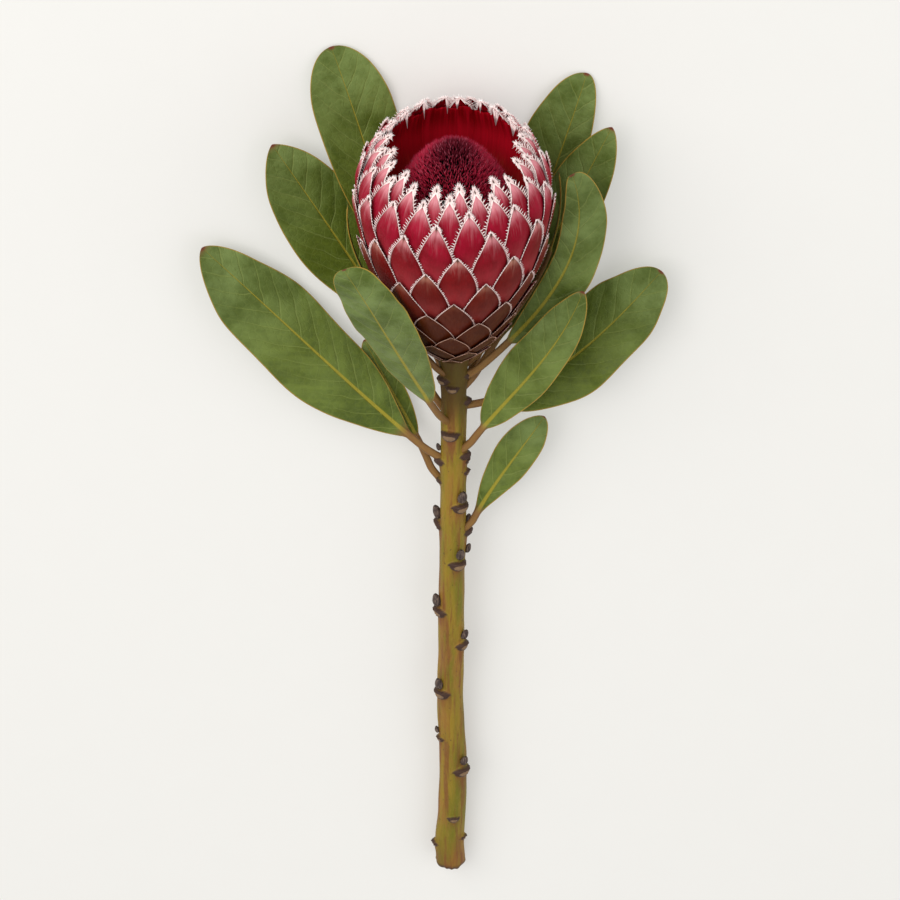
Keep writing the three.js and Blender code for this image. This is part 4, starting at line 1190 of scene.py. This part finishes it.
def wisps_of(numbers, settings, seed):
    """White wisps inside the last bracts: from an edge near the tip each hangs down and draws
    together to a point."""
    draw = np.random.default_rng(seed)
    n = np.repeat(np.array(numbers, float), WISP_HAIRS)
    side = np.where(n % 2 > 0, 1.0, -1.0)
    t = 0.8 + 3.0 * draw.random(len(n))
    root = bract_place(n, t, side * draw.uniform(0.6, 1.0, len(n)), settings, 0.7)
    drop = HEAD_AXIS * (WISP_LENGTH + 1.8 * np.sin(n * 7.0))[:, None]
    way = bract_place(n, 2.5, side * 0.85, settings, 1.0) - drop - root
    span = np.linalg.norm(way, axis=1) * draw.uniform(0.8, 1.0, len(n))
    return root, way, span, settings.hair_radius * 2000, n


def bract_points(numbers, settings):
    """The hard dark point that ends each bract, as a small egg."""
    n = np.array(numbers, float)
    root, along, across, normal = hair_roots(n, 1.3, np.zeros_like(n), settings)
    size = (0.55 + 0.45 * fringe_share(n))[:, None]
    v = np.linspace(0, 1, POINT_ROWS)[:, None, None, None]
    turn = np.linspace(0, 2 * np.pi, POINT_SIDES, endpoint=False)[None, :, None, None]
    girth = 0.42 * np.sqrt(np.clip(1 - (2 * v - 1) ** 2, 0.01, 1))
    points = (root + normal * 0.25 + along * size * 1.5 * v
              + (across * size * np.cos(turn) + normal * size * np.sin(turn)) * girth)
    return points.transpose(2, 0, 1, 3)


class PROTEA_OT_fringe(Operator):
    """Make the white fringe of hairs along the edges of the bracts, and their dark points"""

    bl_idname = "protea.fringe"
    bl_label = "Fringe"

    def execute(self, context):
        settings = context.scene.protea.bracts
        finish = hair_finish(settings)
        front = {n: np.cos(np.radians(bract_turn(n))) for n in INNER_BRACTS}
        behind = [n for n in INNER_BRACTS if front[n] < 0.2]
        back = [n for n in INNER_BRACTS if front[n] < -0.3 and n > LAST_BRACT - WISP_BRACTS]
        made = {
            "comb_of_the_goblet": (comb_of(OUTER_BRACTS, settings, 3), "bract_skin"),
            "tufts_of_the_goblet": (tufts_of(OUTER_BRACTS, settings, 4), "bract_skin"),
            "comb_of_the_mouth": (comb_of(INNER_BRACTS, settings, 5), "bract_rim"),
            "tufts_of_the_mouth": (tufts_of(INNER_BRACTS, settings, 6), "bract_rim"),
            "comb_inside_the_mouth": (inner_comb_of(behind, settings, 9), "bract_rim"),
            "wisps_inside_the_mouth": (wisps_of(back, settings, 7), "bract_rim"),
        }
        draw = np.random.default_rng(8)
        for name, ((root, direction, span, radius, n), slot) in made.items():
            points, triangles, corners = hairs(root, direction, span, radius)
            values = {"along": np.tile([0.0, 0.0, 0.0, 1.0], len(root)),
                      "tint": np.repeat(draw.random(len(root)), corners),
                      "age": np.repeat(bract_age(n), corners)}
            build(name, points, triangles, finish, (), values)
        eggs = bract_points(range(FIRST_BRACT, LAST_BRACT + 1), settings)
        triangles = tube_triangles(*eggs.shape[:3])
        build("points_of_the_bracts", eggs, triangles, horn_finish(settings))
        return {"FINISHED"}


# Florets

def dome_place(turn, radius, above):
    """Growth-frame point above the florets' dome, whose height falls with the radius squared."""
    return head_point(turn, DOME_TOP - DOME_FALL * radius ** 2 + above, radius)


def floret_tips(settings):
    """Florets over the dome, in the golden turn and denser to its middle, and long ones at its rim.
    They lean outwards with the radius and bend back up. Returns their points, triangles, values."""
    draw = np.random.default_rng(11)
    edge = settings.dome_radius * 1000
    k, rim = np.arange(settings.count), np.arange(settings.rim_count)
    dome = edge * ((k + 0.5) / len(k)) ** 0.47
    radius = np.concatenate([dome, draw.uniform(RIM_START, edge + 0.5, len(rim))])
    long = np.concatenate([np.zeros(len(k)), np.ones(len(rim))])
    number = len(radius)
    turn = GOLDEN_TURN * np.concatenate([k, rim]) + draw.normal(size=number) * 6
    out = radius / edge
    span = settings.bristle * 1000 * (0.75 + 0.4 * draw.random(number)) * (0.8 + 0.4 * out)
    span = span * (1 + 0.45 * long)
    root = dome_place(turn, radius, -0.8 - 1.2 * long)
    outwards = head_point(turn, 0, 1) - head_point(turn, 0, 0)
    lean = (0.15 + 0.85 * out) * (1 - 0.65 * long)
    direction = HEAD_AXIS + outwards * lean[:, None] + draw.normal(size=(number, 3)) * 0.13
    bend = (HEAD_AXIS * 0.3 - outwards * 0.3) * (span * out * 0.45)[:, None]
    points, triangles, corners = hairs(root, direction, span, FLORET_RADIUS, bend)
    values = {"along": np.tile([0.0, 0.0, 0.0, 0.5, 0.5, 0.5, 1.0], number),
              "tint": np.repeat(draw.random(number), corners),
              "out": np.repeat(np.clip(out, 0, 1), corners)}
    return points, triangles, values


def floret_bed():
    """Bed that the florets stand in: the dome, lowered and uneven, closed by a throat below it."""
    rings = np.concatenate([np.linspace(27, 25, 4), np.linspace(24, 0.3, 26)])[:, None]
    turn = np.linspace(0, 360, BED_SIDES, endpoint=False)[None, :]
    turn, rings = np.broadcast_arrays(turn, rings)
    bed = dome_place(turn, rings, -1.0 + 0.4 * np.sin(turn * 0.35) * np.sin(rings * 2))
    throat = head_point(turn[:3], np.array([40, 50, 58])[:, None], np.array([20, 24, 26.5])[:, None])
    return np.concatenate([throat, bed])


class PROTEA_OT_florets(Operator):
    """Make the dome of florets that the bracts hold"""

    bl_idname = "protea.florets"
    bl_label = "Florets"

    def execute(self, context):
        settings = context.scene.protea.florets
        finish = floret_finish(settings)
        points, triangles, values = floret_tips(settings)
        build("floret_tips", points, triangles, finish, ["florets"], values)
        bed = floret_bed()
        values = {key: np.zeros(bed[..., 0].size) for key in values}
        build("floret_bed", bed, tube_triangles(1, *bed.shape[:2]), finish, (), values)
        return {"FINISHED"}


# Stage

def place_lamp(name, place, power, size, tone):
    """A square lamp at a place, turned to the plant."""
    light = bpy.data.lights.new(name, "AREA")
    light.energy = power
    light.size = size
    light.color = tone
    lamp = bpy.data.objects.new(name, light)
    bpy.context.scene.collection.objects.link(lamp)
    way = Vector(LAMP_TARGET) - Vector(place)
    lamp.matrix_world = Matrix.Translation(place) @ way.to_track_quat("-Z", "Y").to_matrix().to_4x4()


def place_table(settings):
    """A plain pale table that gives off a little light of its own."""
    r = TABLE_REACH
    mesh = bpy.data.meshes.new("table")
    mesh.from_pydata([(-r, -r, 0), (r, -r, 0), (r, r, 0), (-r, r, 0)], [], [(0, 1, 2, 3)])
    table = bpy.data.objects.new("table", mesh)
    bpy.context.scene.collection.objects.link(table)
    f = Finish("table top", Roughness=0.75, Specular_IOR_Level=0.2,
               Emission_Color=(*settings.floor_colour, 1.0), Emission_Strength=settings.floor_glow)
    grain = f.noise(f.place(), 60.0, 3, 0.5)
    f.put("Base Color", f.mix(grain * 0.04, settings.floor_colour, settings.grain_colour))
    mesh.materials.append(f.material)


def place_camera():
    """The camera in the photograph's view: above the growth frame's front by the view's elevation,
    then laid down with the plant."""
    view = np.array([0, -np.cos(VIEW_ELEVATION), np.sin(VIEW_ELEVATION)])
    up = np.array([0, np.sin(VIEW_ELEVATION), np.cos(VIEW_ELEVATION)])
    c, s = np.cos(REST_SLOPE), np.sin(REST_SLOPE)
    turn = np.array([[1, 0, 0], [0, s, c], [0, -c, s]])
    place = turn @ (CAMERA_TARGET + view * CAMERA_DISTANCE) + [PLACE_X, PLACE_Y, REST_RADIUS * c]
    axes = np.stack([[1, 0, 0], turn @ up, turn @ view], 1)
    data = bpy.data.cameras.new("camera")
    data.lens = CAMERA_LENS
    data.sensor_width = CAMERA_FILM
    data.clip_end = 50
    camera = bpy.data.objects.new("camera", data)
    bpy.context.scene.collection.objects.link(camera)
    camera.matrix_world = Matrix.Translation(place / 1000) @ Matrix(axes.tolist()).to_4x4()
    bpy.context.scene.camera = camera


class PROTEA_OT_stage(Operator):
    """Make the table, the soft lights and the camera of the photograph's view"""

    bl_idname = "protea.stage"
    bl_label = "Stage"

    def execute(self, context):
        settings = context.scene.protea.stage
        place_table(settings)
        world = bpy.data.worlds.new("studio")
        world.use_nodes = True
        sky = world.node_tree.nodes["Background"]
        sky.inputs["Color"].default_value = (1.0, 0.995, 0.98, 1)
        sky.inputs["Strength"].default_value = settings.sky_strength
        context.scene.world = world
        place_lamp("key", (-0.95, 1.0, 1.35), settings.key_power, 1.8, (1.0, 0.985, 0.96))
        place_lamp("fill", (1.3, 0.2, 1.1), settings.fill_power, 1.6, (0.97, 0.985, 1.0))
        place_camera()
        context.scene.view_settings.view_transform = "Standard"
        return {"FINISHED"}


class PROTEA_PT_panel(Panel):
    """Sizes and colours of the protea"""

    bl_label = "Protea"
    bl_idname = "PROTEA_PT_panel"
    bl_space_type = "VIEW_3D"
    bl_region_type = "UI"
    bl_category = "Protea"

    def draw(self, context):
        for name, operators in (("stem", ["stem"]), ("leaves", ["leaves"]), ("bracts", ["bracts", "fringe"]),
                                ("florets", ["florets"]), ("stage", ["stage"])):
            group = getattr(context.scene.protea, name)
            box = self.layout.box()
            for operator in operators:
                box.operator("protea." + operator)
            for key in group.bl_rna.properties.keys():
                if key not in {"rna_type", "name"}:
                    box.prop(group, key)


CLASSES = (StemSettings, LeafSettings, BractSettings, FloretSettings, StageSettings, ProteaSettings,
           PROTEA_OT_stem, PROTEA_OT_leaves, PROTEA_OT_bracts, PROTEA_OT_fringe, PROTEA_OT_florets,
           PROTEA_OT_stage, PROTEA_PT_panel)


def register():
    for cls in CLASSES:
        bpy.utils.register_class(cls)
    bpy.types.Scene.protea = PointerProperty(type=ProteaSettings)


def unregister():
    del bpy.types.Scene.protea
    for cls in reversed(CLASSES):
        bpy.utils.unregister_class(cls)


def main():
    register()
    bpy.ops.protea.stage()
    bpy.ops.protea.stem()
    bpy.ops.protea.leaves()
    bpy.ops.protea.bracts()
    bpy.ops.protea.fringe()
    bpy.ops.protea.florets()


if __name__ == "__main__":
    main()
